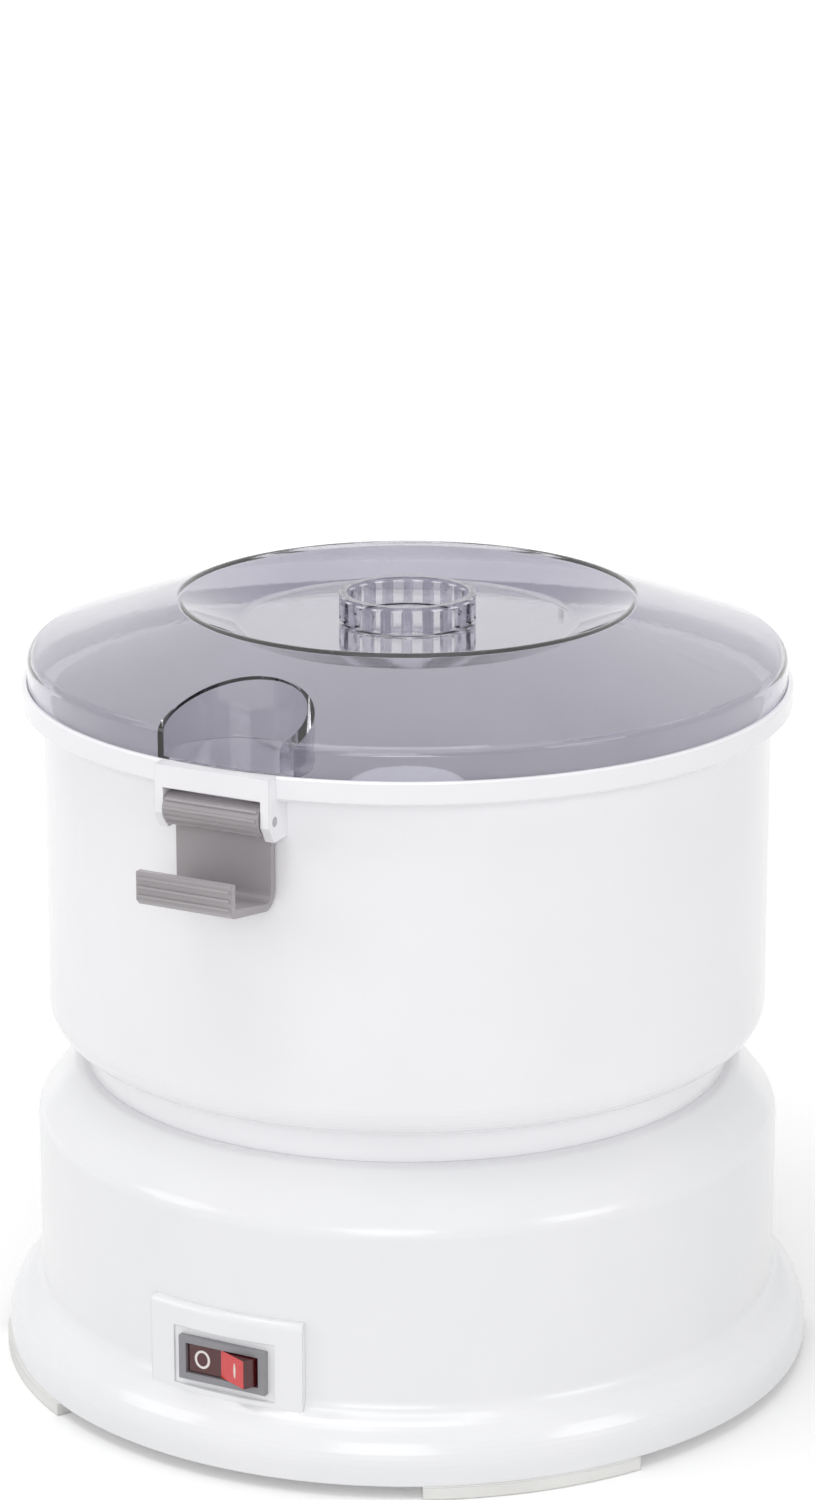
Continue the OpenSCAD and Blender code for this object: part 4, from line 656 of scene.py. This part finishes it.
def plate_outline():
    """The plate's edge, round from the inner end, with its corners on the spokes' lines."""

    def reach(r):
        """Angle at which the spoke's line crosses radius r."""
        return half_window - math.asin(corner_x * math.sin(half_window) / r)

    def bow(r, first, last, steps):
        turns = [first + (last - first) * i / steps for i in range(steps + 1)]
        return [(r * math.cos(turn), r * math.sin(turn)) for turn in turns]

    inner_a, outer_a = reach(plate_in_r), reach(plate_out_r)
    return (bow(plate_out_r, -outer_a, outer_a, outer_steps)
            + bow(plate_in_r, inner_a, -inner_a, inner_steps))


def hole_centres():
    """Middles of the punched holes: slanting rows, clear of the plate's edges and its fold."""
    spots = []
    columns = int(field_reach / hole_row)
    for i in range(-columns, columns + 1):
        for j in range(-columns, columns + 1):
            u = i * hole_pitch + (j % 2) * hole_pitch / 2
            v = j * hole_row
            x = field_mid + u * math.cos(row_slant) - v * math.sin(row_slant)
            y = u * math.sin(row_slant) + v * math.cos(row_slant)
            far = math.hypot(x, y)
            if not plate_in_r + margin_in + burr_r < far < plate_out_r - margin_out - burr_r:
                continue
            if edge_distance(x, y) < margin_side + burr_r or abs(y) < slot_w + burr_r:
                continue
            spots.append((x, y))
    return spots


def grater_sheet():
    """One plate's mesh, flat in plan and lifted to its fold, before it gets its thickness."""
    points, loops = [], []

    def loop(line):
        loops.append(list(range(len(points), len(points) + len(line))))
        points.extend(Vector(p) for p in line)

    loop(plate_outline())
    centres = hole_centres()
    for x, y in centres:
        loop([(x + burr_r * math.cos(a), y + burr_r * math.sin(a))
              for a in (2 * math.pi * k / hole_sides for k in range(hole_sides))])
    first_slot = plate_in_r + margin_in
    slots = int((plate_out_r - margin_out - first_slot) / slot_pitch)
    ridge = [(plate_in_r, 0)]
    for i in range(slots):
        a = first_slot + i * slot_pitch
        b = a + slot_l
        loop([(a, 0), (a + slot_w, -slot_w / 2), (b - slot_w, -slot_w / 2),
              (b, 0), (b - slot_w, slot_w / 2), (a + slot_w, slot_w / 2)])
        ridge += [(a, 0), (b, 0)]
    ridge.append((plate_out_r, 0))
    edges = [(line[k], line[(k + 1) % len(line)]) for line in loops for k in range(len(line))]
    ridge_first = len(points)
    points.extend(Vector(p) for p in ridge)
    edges += [(ridge_first + k, ridge_first + k + 1) for k in range(0, len(ridge), 2)]
    flat, _, faces, vert_ids, _, _ = delaunay_2d_cdt(points, edges, [], 0, weld)
    opening = {}
    for number, line in enumerate(loops[1:]):
        for k in line:
            opening[k] = number
    outside = set(loops[0])
    mesh = bmesh.new()
    verts = [mesh.verts.new((p.x, p.y, wing_height(p.x, p.y))) for p in flat]
    came_from = [set(ids) for ids in vert_ids]
    for face in faces:
        holes = [{opening[k] for k in came_from[v] if k in opening} for v in face]
        if set.intersection(*holes):
            continue
        middle = sum((flat[v] for v in face), Vector((0, 0))) / len(face)
        if middle.length < plate_in_r and all(came_from[v] & outside for v in face):
            continue
        mesh.faces.new([verts[v] for v in face])
    at = {k: verts[v] for v, ids in enumerate(came_from) for k in ids}
    for (x, y), line in zip(centres, loops[1:]):
        lean = 1 if y > 0 else -1
        lip = []
        for k in range(hole_sides):
            a = 2 * math.pi * k / hole_sides
            raised = burr_low + (1 - burr_low) * max(0, math.sin(a) * lean) ** burr_sharp
            px = x + hole_r * math.cos(a)
            py = y + hole_r * math.sin(a) - lean * burr_lean * hole_r * raised
            lip.append(mesh.verts.new((px, py, wing_height(px, py) + burr_h * raised)))
        for k in range(hole_sides):
            j = (k + 1) % hole_sides
            # The burr's faces take the second slot, painted dark as the shade in the holes
            mesh.faces.new((at[line[k]], at[line[j]], lip[j], lip[k])).material_index = 1
    bmesh.ops.delete(mesh, geom=[v for v in mesh.verts if not v.link_faces], context="VERTS")
    bmesh.ops.recalc_face_normals(mesh, faces=mesh.faces)
    top = max(mesh.faces, key=lambda f: f.calc_area())
    if top.normal.z < 0:
        bmesh.ops.reverse_faces(mesh, faces=mesh.faces)
    data = bpy.data.meshes.new("grater_sheet")
    mesh.to_mesh(data)
    mesh.free()
    return data


stamped_steel, tree, output = fresh("stamped_steel")
skin = placed(tree, "machined_lines", Colour=linear(186, 185, 187), Deep_Colour=linear(150, 148, 151),
              Gloss=0.36, Spread=0.3, Fineness=0.12)
spots = maths(tree, "GREATER_THAN", noise(tree, 700, 5), 0.62)
stained = tint(tree, maths(tree, "MULTIPLY", spots, 0.5), skin["Colour"], linear(122, 112, 104))
bump = add(tree, "Bump", Strength=0.15, Distance=0.0002, Height=skin["Height"])
shader = add(tree, "BsdfPrincipled", Base_Color=stained, Metallic=0.85, Roughness=skin["Roughness"],
             Normal=bump.outputs[0])
tree.links.new(shader.outputs[0], output.inputs["Surface"])

# The torn burrs are rough, and their faces are painted dark as the shade inside the punched holes, much
# darker than the sheet
burr_painted_shade = metal("burr_painted_shade", linear(84, 80, 78), linear(34, 31, 30), 0.5, spread=0.3, lines=0.2,
                   edge=0.05)

sheet = grater_sheet()
sheet.materials.append(stamped_steel)
sheet.materials.append(burr_painted_shade)
for number in range(plates):
    plate = bpy.data.objects.new("grater_plate_%d" % (number + 1), sheet.copy())
    plate.data.transform(Matrix.Rotation(2 * half_window * (number + 0.5) + disc_turn, 4, "Z"))
    bpy.context.scene.collection.objects.link(plate)
    thickness = plate.modifiers.new("sheet", "SOLIDIFY")
    thickness.thickness = sheet_t
    thickness.offset = -1
    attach(plate, "disc")
    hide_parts("grater_plates")
bpy.data.meshes.remove(sheet)

# ---- Lid ----------------------------------------------------------------------------------------
# The lid is one moulding in clear, faintly violet plastic. It has the fine hair scratches of use.

clear_plastic, tree, output = fresh("clear_plastic")
skin = placed(tree, "moulded_skin", Colour=(0.68, 0.67, 0.725, 1), Deep_Colour=(0.62, 0.61, 0.67, 1),
              Gloss=0.05, Smudge=0.05, Grain=260.0)
place = add(tree, "TexCoord").outputs["Object"]
drawn = add(tree, "Mapping", Vector=place, Scale=(900, 60, 200), Rotation=(0.3, 0.1, 0.7))
scratch = add(tree, "TexNoise", Vector=drawn.outputs[0], Scale=1.0, Detail=6.0).outputs["Fac"]
scratched = maths(tree, "MULTIPLY", maths(tree, "GREATER_THAN", scratch, 0.66), 0.12)
bump = add(tree, "Bump", Strength=0.05, Distance=0.0004, Height=skin["Height"])
gloss = maths(tree, "ADD", skin["Roughness"], scratched)
shader = add(tree, "BsdfPrincipled", Base_Color=skin["Colour"], Roughness=gloss, Normal=bump.outputs[0])
shader.inputs["Transmission Weight"].default_value = 1
shader.inputs["IOR"].default_value = 1.18
shader.inputs["Coat Weight"].default_value = 0.8
shader.inputs["Coat Roughness"].default_value = 0.04
clear = add(tree, "BsdfTransparent", Color=(0.93, 0.93, 0.95, 1))
path = add(tree, "LightPath").outputs
let_through = maths(tree, "MAXIMUM", path["Is Shadow Ray"], path["Is Diffuse Ray"])
mixed = add(tree, "MixShader", let_through, shader.outputs[0], clear.outputs[0])
tree.links.new(mixed.outputs[0], output.inputs["Surface"])
dress(clear_plastic, "lid")
